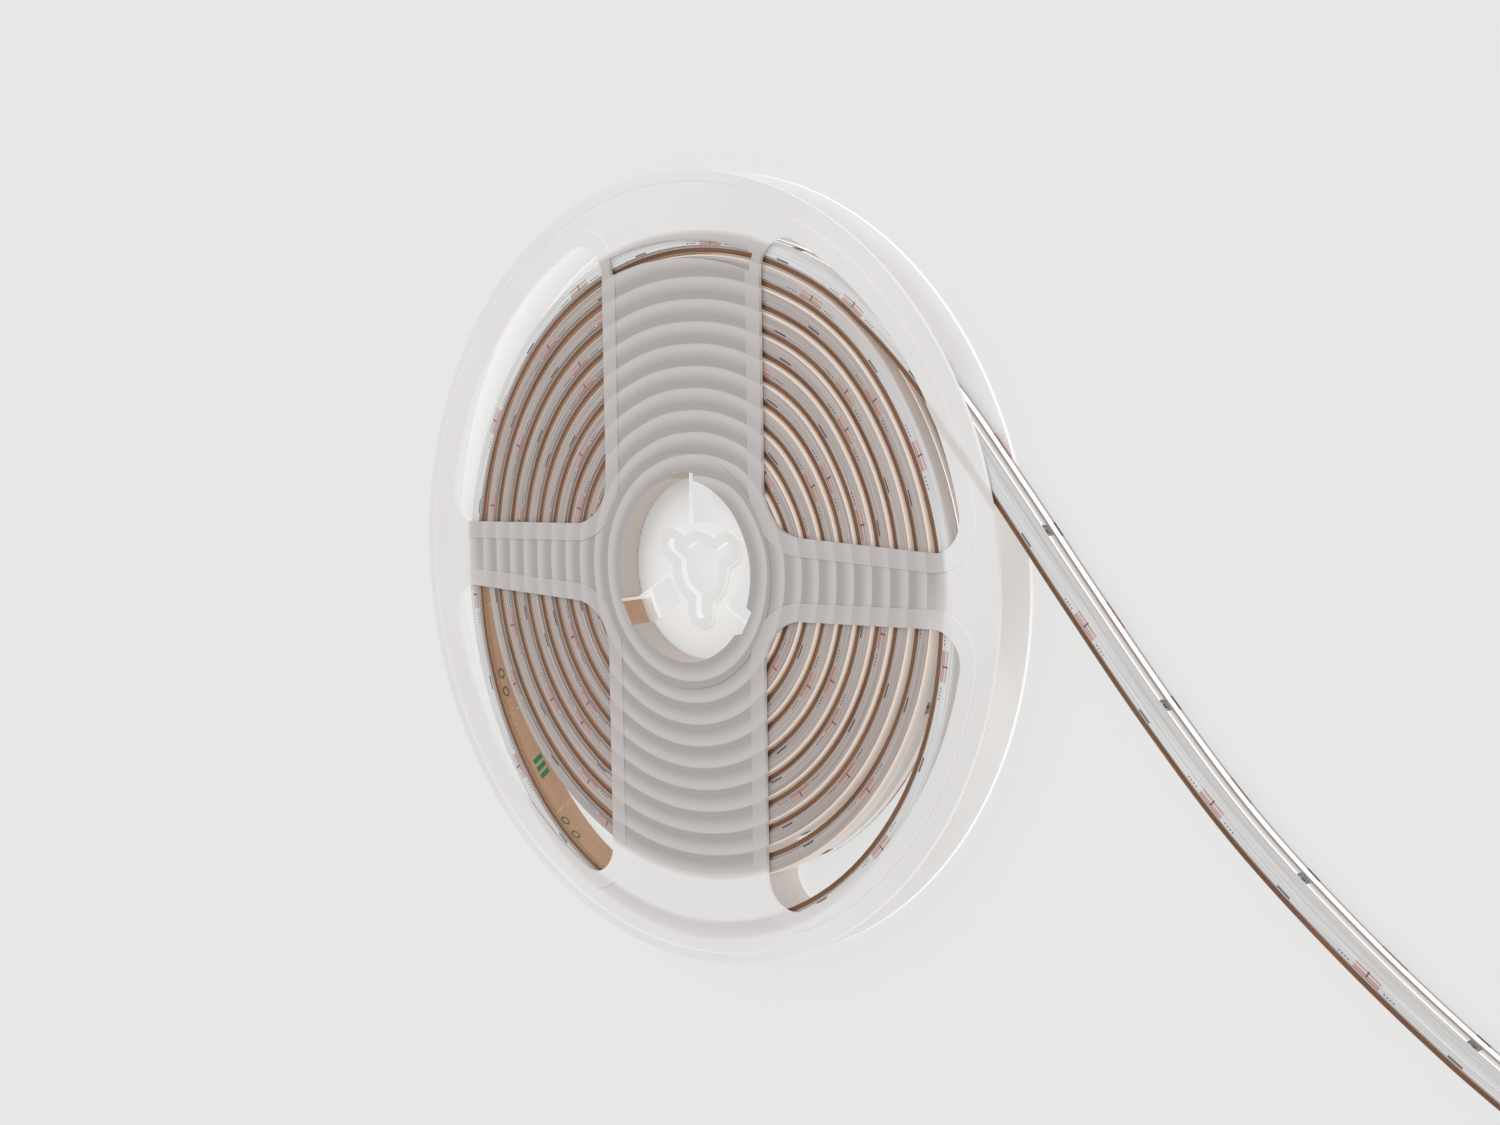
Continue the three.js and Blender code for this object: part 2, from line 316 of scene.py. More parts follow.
def radial_boxes(width: float, start: float, end: float, low: float, high: float,
                 angles: Iterable[float]) -> bmesh.types.BMesh:
    """Boxes that run outwards from the axis.

    Args:
        width: size across the radius.
        start: radius where a box begins.
        end: radius where it ends.
        low: height of its lower face.
        high: height of its upper face.
        angles: one angle for each box, in radians.

    Returns:
        One mesh with all the boxes.
    """
    bm = bmesh.new()
    for angle in angles:
        centre = Vector(((start + end) / 2, 0, (low + high) / 2))
        scale = Matrix.Diagonal((end - start, width, high - low, 1))
        place = Matrix.Rotation(angle, 4, "Z") @ Matrix.Translation(centre) @ scale
        bmesh.ops.create_cube(bm, size=1, matrix=place)
    return bm


class Boolean(Enum):
    """How one solid meets another."""

    JOIN = "UNION"
    CUT = "DIFFERENCE"


class Solid:
    """A closed mesh that other solids join or cut."""

    def __init__(self, bm: bmesh.types.BMesh) -> None:
        """Keeps the mesh in an object that modifiers can use."""
        mesh = bpy.data.meshes.new("solid")
        bm.to_mesh(mesh)
        bm.free()
        self.item = bpy.data.objects.new("solid", mesh)
        bpy.context.scene.collection.objects.link(self.item)

    def meet(self, other: "Solid", how: Boolean) -> "Solid":
        """Joins another solid to this one, or cuts it away, and discards it.

        Args:
            other: the solid that joins or cuts.
            how: what it does.

        Returns:
            This solid.
        """
        modifier = self.item.modifiers.new("meet", "BOOLEAN")
        modifier.operation = how.value
        modifier.solver = "EXACT"
        modifier.object = other.item
        graph = bpy.context.evaluated_depsgraph_get()
        mesh = bpy.data.meshes.new_from_object(self.item.evaluated_get(graph))
        self.item.modifiers.clear()
        self.item.data = mesh
        bpy.data.objects.remove(other.item)
        return self

    def join(self, bm: bmesh.types.BMesh) -> "Solid":
        """Adds a mesh to this solid."""
        return self.meet(Solid(bm), Boolean.JOIN)

    def cut(self, bm: bmesh.types.BMesh) -> "Solid":
        """Takes a mesh away from this solid."""
        return self.meet(Solid(bm), Boolean.CUT)

    def mesh(self) -> bmesh.types.BMesh:
        """Hands the shape back as a bmesh and removes the object."""
        bm = bmesh.new()
        bm.from_mesh(self.item.data)
        bpy.data.objects.remove(self.item)
        bmesh.ops.remove_doubles(bm, verts=bm.verts[:], dist=WELD)
        return bm


def soften(bm: bmesh.types.BMesh, width: float, segments: int = 2, sharp: float = math.radians(50)) -> None:
    """Rounds the sharp edges of a mesh.

    Args:
        bm: the mesh.
        width: how far the rounding reaches from an edge.
        segments: faces across the rounding.
        sharp: the smallest angle between faces that is rounded.
    """
    bmesh.ops.dissolve_limit(bm, angle_limit=math.radians(0.2), verts=bm.verts[:], edges=bm.edges[:])
    edges = [e for e in bm.edges if e.is_manifold and e.calc_face_angle() > sharp]
    bmesh.ops.bevel(bm, geom=edges, offset=width, offset_type="OFFSET", affect="EDGES",
                    segments=segments, profile=0.5, material=-1, clamp_overlap=True)


def smooth_faces(bm: bmesh.types.BMesh, limit: float = math.radians(20)) -> None:
    """Shades a mesh smooth, apart from its edges sharper than the limit."""
    for face in bm.faces:
        face.smooth = True
    for edge in bm.edges:
        edge.smooth = not (edge.is_manifold and edge.calc_face_angle() > limit)


class Placer:
    """Puts finished meshes where the frame has the reel."""

    def __init__(self) -> None:
        """Finds the hub's centre from the rear flange, whose rim has a corner on the row's X axis."""
        low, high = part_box("rear_flange")
        self.centre = Vector((high.x - REEL.rim_radius * MM, (low.y + high.y) / 2, low.z))
        self.matrix = Matrix.Translation(self.centre) @ Matrix.Scale(MM, 4)

    def point(self, x: float, y: float, z: float) -> Vector:
        """A point of the reel's own frame, in metres in the row frame."""
        return self.matrix @ Vector((x, y, z))

    def piece(self, name: str, bm: bmesh.types.BMesh, materials: Iterable[bpy.types.Material], slot: str,
              replaces: Iterable[str] = ()) -> bpy.types.Object:
        """Makes the object for a finished mesh and has it ride on the part.

        Args:
            name: the piece's name.
            bm: its mesh, in millimetres in the reel's own frame.
            materials: its materials, by the faces' material index.
            slot: not used.
            replaces: the frame's nodes that it stands for.

        Returns:
            The object.
        """
        bmesh.ops.transform(bm, matrix=self.matrix, verts=bm.verts[:])
        mesh = bpy.data.meshes.new(name)
        bm.to_mesh(mesh)
        bm.free()
        for material in materials:
            mesh.materials.append(material)
        item = bpy.data.objects.new(name, mesh)
        bpy.context.scene.collection.objects.link(item)
        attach(item, BODY)
        if replaces:
            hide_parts(*replaces)
        log.info("%s: %d faces", name, len(mesh.polygons))
        return item


# Shaders


class Value:
    """A shader socket that takes part in Python expressions."""

    def __init__(self, shader: "Shader", socket: bpy.types.NodeSocket) -> None:
        """Wraps a socket of a shader's node."""
        self.shader = shader
        self.socket = socket

    def __add__(self, other: "Number") -> "Value":
        """The sum."""
        return self.shader.maths("ADD", self, other)

    def __radd__(self, other: float) -> "Value":
        """The sum, from the right."""
        return self.shader.maths("ADD", other, self)

    def __sub__(self, other: "Number") -> "Value":
        """The difference."""
        return self.shader.maths("SUBTRACT", self, other)

    def __rsub__(self, other: float) -> "Value":
        """The difference, from the right."""
        return self.shader.maths("SUBTRACT", other, self)

    def __mul__(self, other: "Number") -> "Value":
        """The product."""
        return self.shader.maths("MULTIPLY", self, other)

    def __rmul__(self, other: float) -> "Value":
        """The product, from the right."""
        return self.shader.maths("MULTIPLY", other, self)

    def __truediv__(self, other: "Number") -> "Value":
        """The quotient."""
        return self.shader.maths("DIVIDE", self, other)

    def __gt__(self, other: "Number") -> "Value":
        """One where this is larger, else nothing."""
        return self.shader.maths("GREATER_THAN", self, other)

    def __lt__(self, other: "Number") -> "Value":
        """One where this is smaller, else nothing."""
        return self.shader.maths("LESS_THAN", self, other)

    def between(self, low: float, high: float) -> "Value":
        """One between two limits, else nothing."""
        return (self > low) * (self < high)

    def near(self, middle: float, reach: float) -> "Value":
        """One within a reach of a middle, else nothing."""
        return self.between(middle - reach, middle + reach)

    def size(self) -> "Value":
        """The value without its sign."""
        return self.shader.maths("ABSOLUTE", self)

    def larger(self, other: "Number") -> "Value":
        """The larger of this and another."""
        return self.shader.maths("MAXIMUM", self, other)

    def repeat(self, period: float) -> "Value":
        """The distance from the middle of the nearest repeat."""
        return (self.shader.maths("FRACT", self / period + 0.5) - 0.5) * period

    def fraction(self) -> "Value":
        """What is left over the whole number below."""
        return self.shader.maths("FRACT", self)

    def ramp(self, low: float, high: float, start: float = 0, end: float = 1, soft: bool = True) -> "Value":
        """A rise between two limits, soft or straight, and level outside them."""
        inputs = {"Value": self, "From Min": low, "From Max": high, "To Min": start, "To Max": end}
        kind = "SMOOTHSTEP" if soft else "LINEAR"
        return self.shader.node("ShaderNodeMapRange", {"interpolation_type": kind}, inputs)

    def course(self, knots: Iterable[tuple[float, float]]) -> "Value":
        """Straight lines from knot to knot, and level outside them."""
        pairs = list(knots)
        total: Number = pairs[0][1]
        for (x0, y0), (x1, y1) in zip(pairs, pairs[1:]):
            if y0 != y1:
                total = self.ramp(x0, x1, 0, y1 - y0, soft=False) + total
        return total


Number = Union[Value, float]


class Shader:
    """One material, whose nodes come from expressions."""

    def __init__(self, name: str) -> None:
        """Starts a material with only its output."""
        self.material = bpy.data.materials.new(name)
        self.material.use_nodes = True
        self.tree = self.material.node_tree
        self.tree.nodes.clear()
        self.output = self.tree.nodes.new("ShaderNodeOutputMaterial")

    def node(self, kind: str, settings: Optional[dict[str, Any]] = None,
             inputs: Optional[dict[Union[str, int], Any]] = None, output: Union[str, int] = 0) -> Value:
        """Makes a node.

        Args:
            kind: the node's type.
            settings: its properties, set before its sockets.
            inputs: values or links of its sockets, by name or place.
            output: the socket that is returned, by name or place.

        Returns:
            The output socket.
        """
        made = self.tree.nodes.new(kind)
        for key, setting in (settings or {}).items():
            setattr(made, key, setting)
        for key, given in (inputs or {}).items():
            socket = made.inputs[key]
            if isinstance(given, Value):
                self.tree.links.new(given.socket, socket)
            elif socket.type == "RGBA" and len(given) == 3:
                socket.default_value = (*given, 1)
            else:
                socket.default_value = given
        return Value(self, made.outputs[output])

    def maths(self, operation: str, *terms: Number) -> Value:
        """A Math node on one or more terms."""
        return self.node("ShaderNodeMath", {"operation": operation}, dict(enumerate(terms)))

    def attribute(self, name: str) -> Value:
        """A number that the mesh carries on its points."""
        return self.node("ShaderNodeAttribute", {"attribute_name": name}, output="Fac")

    def place(self) -> Value:
        """The point's place in the row frame."""
        return self.node("ShaderNodeTexCoord", output="Object")

    def vector(self, x: Number, y: Number, z: Number) -> Value:
        """Three numbers as a vector."""
        return self.node("ShaderNodeCombineXYZ", inputs={0: x, 1: y, 2: z})

    def noise(self, where: Value, scale: float, detail: float = 2, roughness: float = 0.5) -> Value:
        """Soft noise from 0 to 1."""
        inputs = {"Vector": where, "Scale": scale, "Detail": detail, "Roughness": roughness}
        return self.node("ShaderNodeTexNoise", inputs=inputs)

    def blend(self, share: Number, first: Any, second: Any) -> Value:
        """A colour between two, by a share."""
        settings = {"data_type": "RGBA", "blend_type": "MIX"}
        return self.node("ShaderNodeMix", settings, {0: share, 6: first, 7: second}, output=2)

    def bump(self, height: Value, distance: float, strength: float = 1) -> Value:
        """A normal from a height, with its depth in metres."""
        inputs = {"Height": height, "Distance": distance, "Strength": strength}
        return self.node("ShaderNodeBump", inputs=inputs)

    def principled(self, **inputs: Any) -> Value:
        """The main shader, with underscores for the spaces in its sockets' names."""
        named = {key.replace("_", " "): given for key, given in inputs.items()}
        return self.node("ShaderNodeBsdfPrincipled", inputs=named)

    def finish(self, surface: Value) -> bpy.types.Material:
        """Sends a surface to the output.

        Args:
            surface: the shader's last socket.

        Returns:
            The material.
        """
        self.tree.links.new(surface.socket, self.output.inputs["Surface"])
        return self.material


@dataclass(frozen=True)
class MilkyPlastic:
    """Thin moulded polypropylene with faint flow marks and an orange-peel surface, and a painted glow in
    place of light passing through it.
    """

    name: str
    centre: Vector
    colour: Colour
    shade: Colour
    # Painted glow: emission all over, and more on upright walls, in place of light passing through the
    # plastic.
    glow: float = 0.05
    side_glow: float = 0.3
    roughness: float = 0.4

    def reel_place(self, shader: Shader) -> tuple[Value, Value, Value]:
        """The shaded point in the reel's own frame, in millimetres."""
        apart = shader.node("ShaderNodeSeparateXYZ", inputs={0: shader.place()})
        outputs = apart.socket.node.outputs
        return tuple((Value(shader, outputs[i]) - self.centre[i]) / MM for i in range(3))

    def base(self, shader: Shader, flow: Value) -> Value:
        """The plastic's own colour."""
        return shader.blend(flow.ramp(0.3, 0.75), self.colour, self.shade)

    def material(self) -> bpy.types.Material:
        """Makes the plastic."""
        shader = Shader(self.name)
        place = shader.place()
        flow = shader.noise(place, 14, 3, 0.55)
        grain = shader.noise(place, 2600, 2)
        scuffs = shader.noise(place, 320, 4, 0.6)
        colour = self.base(shader, flow)
        roughness = self.roughness + (scuffs - 0.5) * 0.12
        # Painted glow in the plastic's own colour, standing in for light that passes through it.
        glow = self.upright(shader) * self.side_glow + self.inner_glow(shader) + self.glow
        return shader.finish(shader.principled(
            Base_Color=colour, Roughness=roughness, IOR=1.45, Specular_IOR_Level=0.35,
            Emission_Color=shader.blend(glow, (0, 0, 0), colour), Emission_Strength=1.0,
            Normal=shader.bump(grain * 0.3 + flow * 0.7, 0.00004)))

    def inner_glow(self, shader: Shader) -> Number:
        """The painted glow in place of light passing through the plastic's faces; none on this plastic."""
        return 0.0

    def upright(self, shader: Shader) -> Value:
        """One on upright walls, which get a painted glow in place of the light that leaves through the edge
        of any clear sheet.
        """
        normal = shader.node("ShaderNodeNewGeometry", output="Normal")
        apart = shader.node("ShaderNodeSeparateXYZ", inputs={0: normal}, output="Z")
        return (1 - apart.size()).ramp(0.2, 0.9)


@dataclass(frozen=True)
class WebbedPlastic(MilkyPlastic):
    """The rear half's plastic, greyer on the collar, with a painted glow in its thin flange in place of light
    passing through it.
    """

    collar: Colour = tint(225, 225, 224)
    # The thin flange's colour sits lower to leave room for its painted glow.
    thin: Colour = tint(219, 218, 217)
    thin_glow: float = 0.32

    def flange(self, shader: Shader) -> Value:
        """One on the flange and nothing on the hub."""
        return self.reel_place(shader)[2].ramp(REEL.flange_thickness + 0.3, REEL.flange_thickness + 0.6, 1, 0)

    def inner_glow(self, shader: Shader) -> Value:
        """The painted glow in the thin flange."""
        return self.flange(shader) * self.thin_glow

    def base(self, shader: Shader, flow: Value) -> Value:
        """The plastic's colour, with the thicker collar's."""
        x, y, z = self.reel_place(shader)
        reach = shader.maths("SQRT", x * x + y * y)
        raised = z.ramp(REEL.web_front + 0.1, REEL.web_front + 0.4) * (reach < REEL.key_reach + 4)
        colour = shader.blend(self.flange(shader), super().base(shader, flow), self.thin)
        return shader.blend(raised, colour, self.collar)


@dataclass(frozen=True)
class VeilPlastic(MilkyPlastic):
    """The front half's plastic, with the wound turns beneath painted on it as soft arcs: partly their own
    tones, partly painted highlights at their shoulders and painted shade under the flange.
    """

    winding: Winding = field(default_factory=Winding)
    pitch: float = 1.0
    outer: float = 1.0
    tail: tuple[Vector, Vector] = (Vector((0, 0)), Vector((1, 0)))
    # Painted see-through of the wound turns: a shaded tone and a highlight tone for the arcs, and a lighter
    # tone on the lips.
    veil_shade: Colour = tint(162, 156, 155)
    veil_highlight: Colour = tint(195, 189, 187)
    lip_veil: Colour = tint(190, 185, 183)
    # Painted shade of the bore on the hub sleeve's walls, tinted brown by the strip seen through them.
    hub_wall: Colour = tint(172, 163, 156)
    # The free end's tape seen through the rim, with painted shade.
    tape_shade_through_rim: Colour = tint(180, 172, 167)
    lip_share: float = 0.62
    veil_share: float = 0.96
    tape_share: float = 0.4

    def base(self, shader: Shader, flow: Value) -> Value:
        """The plastic's colour over the wound turns, over the gaps beside them and on the hub's sleeve, with
        the turns' painted highlights and shade, and painted shade in the bore.
        """
        x, y, z = self.reel_place(shader)
        radius = shader.maths("SQRT", x * x + y * y)
        first = self.winding.turn_shape[0][0]
        degrees = shader.maths("ARCTAN2", y, x) * math.degrees(1)
        angle = ((degrees - first) / 360).fraction() * 360 + first
        shape = angle.course([*self.winding.turn_shape, (360 + first, -1)])
        slack = angle.course([k for k in self.winding.slack if k[0] <= 360 + first])
        turn = (radius - self.outer) / self.pitch - shape
        sprung = slack.ramp(1.0, 4.0).larger(angle < self.winding.departure)
        loose = turn - slack / self.pitch
        phase = (turn + 0.05).fraction()
        # Each turn's arc: a painted highlight at its outer side, fading to painted shade inwards.
        arcs = phase.ramp(0.2, 0.86) * (1 - phase.ramp(0.93, 1.0))
        packed = turn.ramp(0.75, 1.05, 1, 0) * (1 - sprung * turn.ramp(-0.3, 0.1))
        outermost = sprung * loose.ramp(-0.1, 0.2) * loose.ramp(0.7, 1.0, 1, 0)
        over = packed.larger(outermost * (angle > self.winding.departure) * 0.4)
        lip = (z > REEL.depth - 0.25) * (radius > REEL.hub_ring) * self.lip_share
        below = z < REEL.front_inner - 0.05
        plain = super().base(shader, flow)
        veil = shader.blend(arcs * 0.9 + flow * 0.1, self.veil_shade, self.veil_highlight)
        veil = shader.blend(lip, veil, self.lip_veil)
        colour = shader.blend(over * self.veil_share, plain, veil)
        # Where the free end's tape passes under the rim: the tape seen through, with painted shade.
        colour = shader.blend(self.over_tail(x, y) * self.tape_share, colour, self.tape_shade_through_rim)
        # The sleeve's walls below the flange take the bore's painted shade.
        return shader.blend(below, colour, self.hub_wall)

    def over_tail(self, x: Value, y: Value) -> Value:
        """One where the free end's tape passes under the rim."""
        start, end = self.tail
        onward = (end - start).normalized()
        aside = (y - start.y) * onward.x - (x - start.x) * onward.y
        reached = (x - start.x) * onward.x + (y - start.y) * onward.y
        return aside.ramp(-0.7, 0.4) * aside.ramp(1.4, 2.6, 1, 0) * reached.ramp(-2, 2) * (reached < 40)


@dataclass(frozen=True)
class StripMarks:
    """Where the board's marks repeat along the strip, counted from a chip."""

    first: float
    spacing: float
    cut_half: float = 3.6
    dash_half: float = 1.9
    dot_reach: float = 6.4
    dot_pitch: float = 0.85
    dot_half: float = 0.2

    def from_chip(self, along: Value) -> Value:
        """Distance from the nearest chip."""
        return (along - self.first).repeat(self.spacing)

    def from_cut(self, along: Value) -> Value:
        """Distance from the nearest cut line, midway between chips."""
        return (along - self.first + self.spacing / 2).repeat(self.spacing)

    def dots(self, along: Value) -> Value:
        """Two short rows of dots, one on either side of a cut line."""
        cut = self.from_cut(along)
        rows = (cut.size() - self.dot_reach).size() < 2 * self.dot_pitch
        return rows * (cut.repeat(self.dot_pitch).size() < self.dot_half)


@dataclass(frozen=True)
class ClearSilicone:
    """The sleeve: clear silicone that shows the board, with painted highlights, painted shade on the wound
    turns, a painted glow, and streaks that are partly drawn lines and partly painted reflections.
    """

    marks: StripMarks
    lit_outer_from: float
    # Painted shade for the wound turns' walls and a painted lit tone for the strip's outer stretch, as two
    # copies of one silicone.
    wound_shade: Colour = tint(180, 171, 167)
    wound_shade_streak: Colour = tint(148, 138, 134)
    lit_outer: Colour = tint(192, 192, 192)
    lit_outer_streak: Colour = tint(219, 219, 219)
    face: Colour = tint(222, 223, 225)
    face_streak: Colour = tint(200, 200, 201)
    # Painted highlight on the sleeve's outer shoulders.
    shoulder_highlight: Colour = tint(240, 228, 217)
    # Painted highlight colour for the stripe on the top's rear side and the line at the gel's front edge.
    white: Colour = tint(255, 255, 255)
    # The trough beside the gel: a painted lit tone towards the front and painted shade towards the rear.
    trough_lit: Colour = tint(236, 228, 224)
    trough_shaded: Colour = tint(150, 138, 132)
    dark: Colour = tint(84, 78, 76)
    copper: Colour = tint(158, 84, 78)
    blush: Colour = tint(206, 178, 170)
    ink: Colour = tint(34, 32, 36)
    edge_line: Colour = tint(166, 165, 165)
    shoulder_highlight_reach: float = 0.4
    edge_width: float = 1.5
    highlight_band_to: float = 3.3
    cross_half: float = 0.2
    dark_line: float = 3.38
    bright_line: float = 5.9
    trough_span: tuple[float, float] = (3.45, 5.8)
    chip_window: tuple[float, float] = (4.0, 6.1)
    chip_window_half: float = 1.5
    window_clear: float = 0.97
    # Painted glow: a little all over, and a share more on highlights and outer faces.
    all_over_glow: float = 0.1
    glow_share: float = 0.55

    def material(self) -> bpy.types.Material:
        """Makes the silicone."""
        shader = Shader("clear_silicone")
        along, out, across = (shader.attribute(n) for n in ("along", "out", "across"))
        # The strip's outer stretch is painted as lit; the wound turns inside it are painted as shaded.
        lit_outer = along.ramp(self.lit_outer_from - 60, self.lit_outer_from + 60)
        # Streaks along the strip, partly the silicone's drawn lines and partly painted internal reflections.
        streaks = shader.noise(shader.vector(along * 0.012, out * 2.6, across * 2.6), 1, 3, 0.65)
        fine = shader.noise(shader.vector(along * 0.05, out * 9, across * 9), 1, 1)
        wall = shader.blend(streaks.ramp(0.36, 0.66), self.wound_shade, self.wound_shade_streak)
        free = shader.blend((streaks * 0.6 + fine * 0.4).ramp(0.42, 0.62), self.lit_outer, self.lit_outer_streak)
        colour = shader.blend(lit_outer, wall, free)
        # Painted highlight on the wound turns' outer shoulders, faint on the outer stretch.
        rim = STRIP.sleeve_top - self.shoulder_highlight_reach
        shoulder_highlight_mask = (out - rim).ramp(-0.12, 0.08)
        colour = shader.blend(shoulder_highlight_mask * (1 - lit_outer * 0.85), colour, self.shoulder_highlight)
        level = across.between(STRIP.shoulder_width, REEL.strip_width - STRIP.shoulder_width)
        level = level * (out > STRIP.sleeve_top - 0.1) * (1 - lit_outer)
        outer_face = shader.blend(streaks.ramp(0.4, 0.62), self.face, self.face_streak)
        colour = shader.blend(level, colour, outer_face)
        shoulder_highlight_mask = shoulder_highlight_mask * (1 - level)
        top = out > STRIP.sleeve_top - 0.5
        # Painted shade across the trough: darker towards the rear, lighter towards the front, on the outer
        # stretch only.
        trough = shader.blend(across.ramp(3.5, 5.2), self.trough_shaded, self.trough_lit)
        colour = shader.blend(across.between(*self.trough_span) * top * lit_outer, colour, trough)
        colour = self.printed(shader, colour, along, out, across)
        # Painted highlight: a broad stripe on the top's rear side, fainter on the wound turns.
        highlight_band = across.between(self.edge_width, self.highlight_band_to) * top
        colour = shader.blend(highlight_band * lit_outer.larger(0.4), colour, self.white)
        colour = shader.blend(across.near(self.dark_line, 0.1) * top * lit_outer, colour, self.dark)
        # Painted highlight: a thin line along the gel's front edge, on the outer stretch only.
        bright = across.near(self.bright_line, 0.17 + (fine - 0.5) * 0.12) * top * lit_outer
        colour = shader.blend(bright, colour, self.white)
        chip = self.marks.from_chip(along)
        spot = (chip.size() < self.chip_window_half) * across.between(*self.chip_window) * top
        alpha = 1 - spot * self.window_clear
        # Painted glow on the highlights, the wound turns' outer faces and their shoulders, in place of light
        # carried through the silicone.
        lit = bright.larger(highlight_band * 0.5).larger(level * 0.35)
        glow = lit.larger(shoulder_highlight_mask * (1 - lit_outer) * 0.12)
        return shader.finish(shader.principled(
            Base_Color=colour, Roughness=0.16 + streaks * 0.12, IOR=1.41, Alpha=alpha,
            Specular_IOR_Level=0.5, Emission_Strength=1.0,
            Emission_Color=shader.blend(glow * self.glow_share + self.all_over_glow, (0, 0, 0), colour),
            Normal=shader.bump(streaks + fine * 0.4, 0.0001, 0.5)))

    def printed(self, shader: Shader, colour: Value, along: Value, out: Value, across: Value) -> Value:
        """Lays the board's marks, as they show through the walls, over a colour.

        Args:
            shader: the material that is being made.
            colour: the colour below the marks.
            along: distance along the strip.
            out: offset from the strip's seat.
            across: distance across the strip.

        Returns:
            The colour with the marks.
        """
        foot = STRIP.sleeve_start
        wall = out < STRIP.board_top
        chip, cut = self.marks.from_chip(along), self.marks.from_cut(along)
        low = out.near(foot + 0.28, 0.2) * wall
        field_of_cut = out.between(foot + 0.4, foot + 1.9) * wall
        at_cut = cut.size() < self.marks.cut_half
        line = out.near(foot + 0.75, 0.1).larger(out.near(foot + 1.5, 0.1)) * wall
        far_edge = across.between(-0.01, self.edge_width) * (out > STRIP.board_top)
        copper = at_cut * (low * 0.8).larger(line).larger(far_edge)
        dash = (chip.size() < self.marks.dash_half) * (low * 0.9).larger(far_edge)
        dots = self.marks.dots(along) * wall * out.near(foot + 0.45, 0.13)
        cross = (cut.size() < self.cross_half) * field_of_cut
        black = dash.larger(dots).larger(cross * 0.8)
        colour = shader.blend(far_edge * 0.75, colour, self.edge_line)
        colour = shader.blend(field_of_cut * at_cut * 0.3, colour, self.blush)
        colour = shader.blend(copper * 0.9, colour, self.copper)
        return shader.blend(black * 0.95, colour, self.ink)


@dataclass(frozen=True)
class FlexBoard:
    """The flexible board: pale film with copper pads at the cut lines and rows of vias."""

    marks: StripMarks
    film: Colour = tint(206, 206, 204)
    film_shade: Colour = tint(186, 186, 184)
    pad: Colour = tint(205, 140, 122)
    ink: Colour = tint(52, 52, 56)

    def material(self) -> bpy.types.Material:
        """Makes the board."""
        shader = Shader("flex_board")
        along, across = shader.attribute("along"), shader.attribute("across")
        side = (across - REEL.strip_width / 2).size()
        cut, chip = self.marks.from_cut(along), self.marks.from_chip(along)
        lines = shader.noise(shader.vector(along * 0.01, across * 3.4, 0), 1, 2)
        colour = shader.blend(lines.ramp(0.4, 0.62), self.film, self.film_shade)
        pads = side.between(2.1, 3.5) * (cut.size() < 2.6) * (cut.size() > 0.25)
        tracks = side.near(3.75, 0.08) * 0.35
        colour = shader.blend(pads.larger(tracks), colour, self.pad)
        vias = self.marks.dots(along) * side.near(1.9, 0.2)
        dashes = side.near(3.5, 0.16) * (chip.size() < 1.7)
        colour = shader.blend(vias.larger(dashes).larger((cut.size() < 0.1) * 0.7), colour, self.ink)
        return shader.finish(shader.principled(
            Base_Color=colour, Roughness=0.42 - pads * 0.12, Normal=shader.bump(lines, 0.00003)))


@dataclass(frozen=True)
class GelFinish:
    """The soft line over the light-emitting dies, with painted shade on its rear side and a painted lighter
    tone on its front side.
    """

    # A painted lit tone for the front side and painted shade for the rear side.
    near: Colour = tint(232, 224, 219)
    far: Colour = tint(164, 154, 148)
    die: Colour = tint(206, 184, 172)

    def material(self) -> bpy.types.Material:
        """Makes the gel."""
        shader = Shader("led_gel")
        along, across = shader.attribute("along"), shader.attribute("across")
        middle = REEL.strip_width / 2
        dies = (along.repeat(1.6).size() < 0.45) * ((across - middle).size() < 0.4)
        mottle = shader.noise(shader.vector(along * 0.4, across, 0), 1, 3)
        # Painted shade: darker towards the rear edge, lighter towards the front.
        colour = shader.blend(across.ramp(middle - 1.3, middle + 1.1), self.far, self.near)
        colour = shader.blend(dies * 0.35 + mottle.ramp(0.5, 0.8) * 0.2, colour, self.die)
        return shader.finish(shader.principled(
            Base_Color=colour, Roughness=0.3, Subsurface_Weight=0.15, Coat_Weight=0.4, Coat_Roughness=0.1,
            Normal=shader.bump(mottle, 0.00012)))


@dataclass(frozen=True)
class FoamTape:
    """Dark brown foam tape, greyer and glossier on the outer part of its side faces, next to the sleeve."""

    colour: Colour = tint(136, 97, 69)
    pore: Colour = tint(88, 60, 42)
    edge_grey: Colour = tint(178, 165, 158)
    brown_width: float = 1.2

    def material(self) -> bpy.types.Material:
        """Makes the tape."""
        shader = Shader("foam_tape")
        along, out, across = (shader.attribute(n) for n in ("along", "out", "across"))
        pores = shader.noise(shader.vector(along, out * 2.4, across), 2.2, 3, 0.65)
        streak = shader.noise(shader.vector(along * 0.04, out * 3, across), 1, 2)
        colour = shader.blend((pores * 0.5 + streak * 0.5).ramp(0.35, 0.68), self.colour, self.pore)
        edge = (across - REEL.strip_width / 2).size() > REEL.strip_width / 2 - 0.6
        # Greyer and glossier on the side faces past the brown width.
        clear = (out - self.brown_width).ramp(-0.08, 0.08) * edge
        colour = shader.blend(clear, colour, self.edge_grey)
        return shader.finish(shader.principled(
            Base_Color=colour, Roughness=0.8 - clear * 0.4, Normal=shader.bump(pores, 0.00015)))


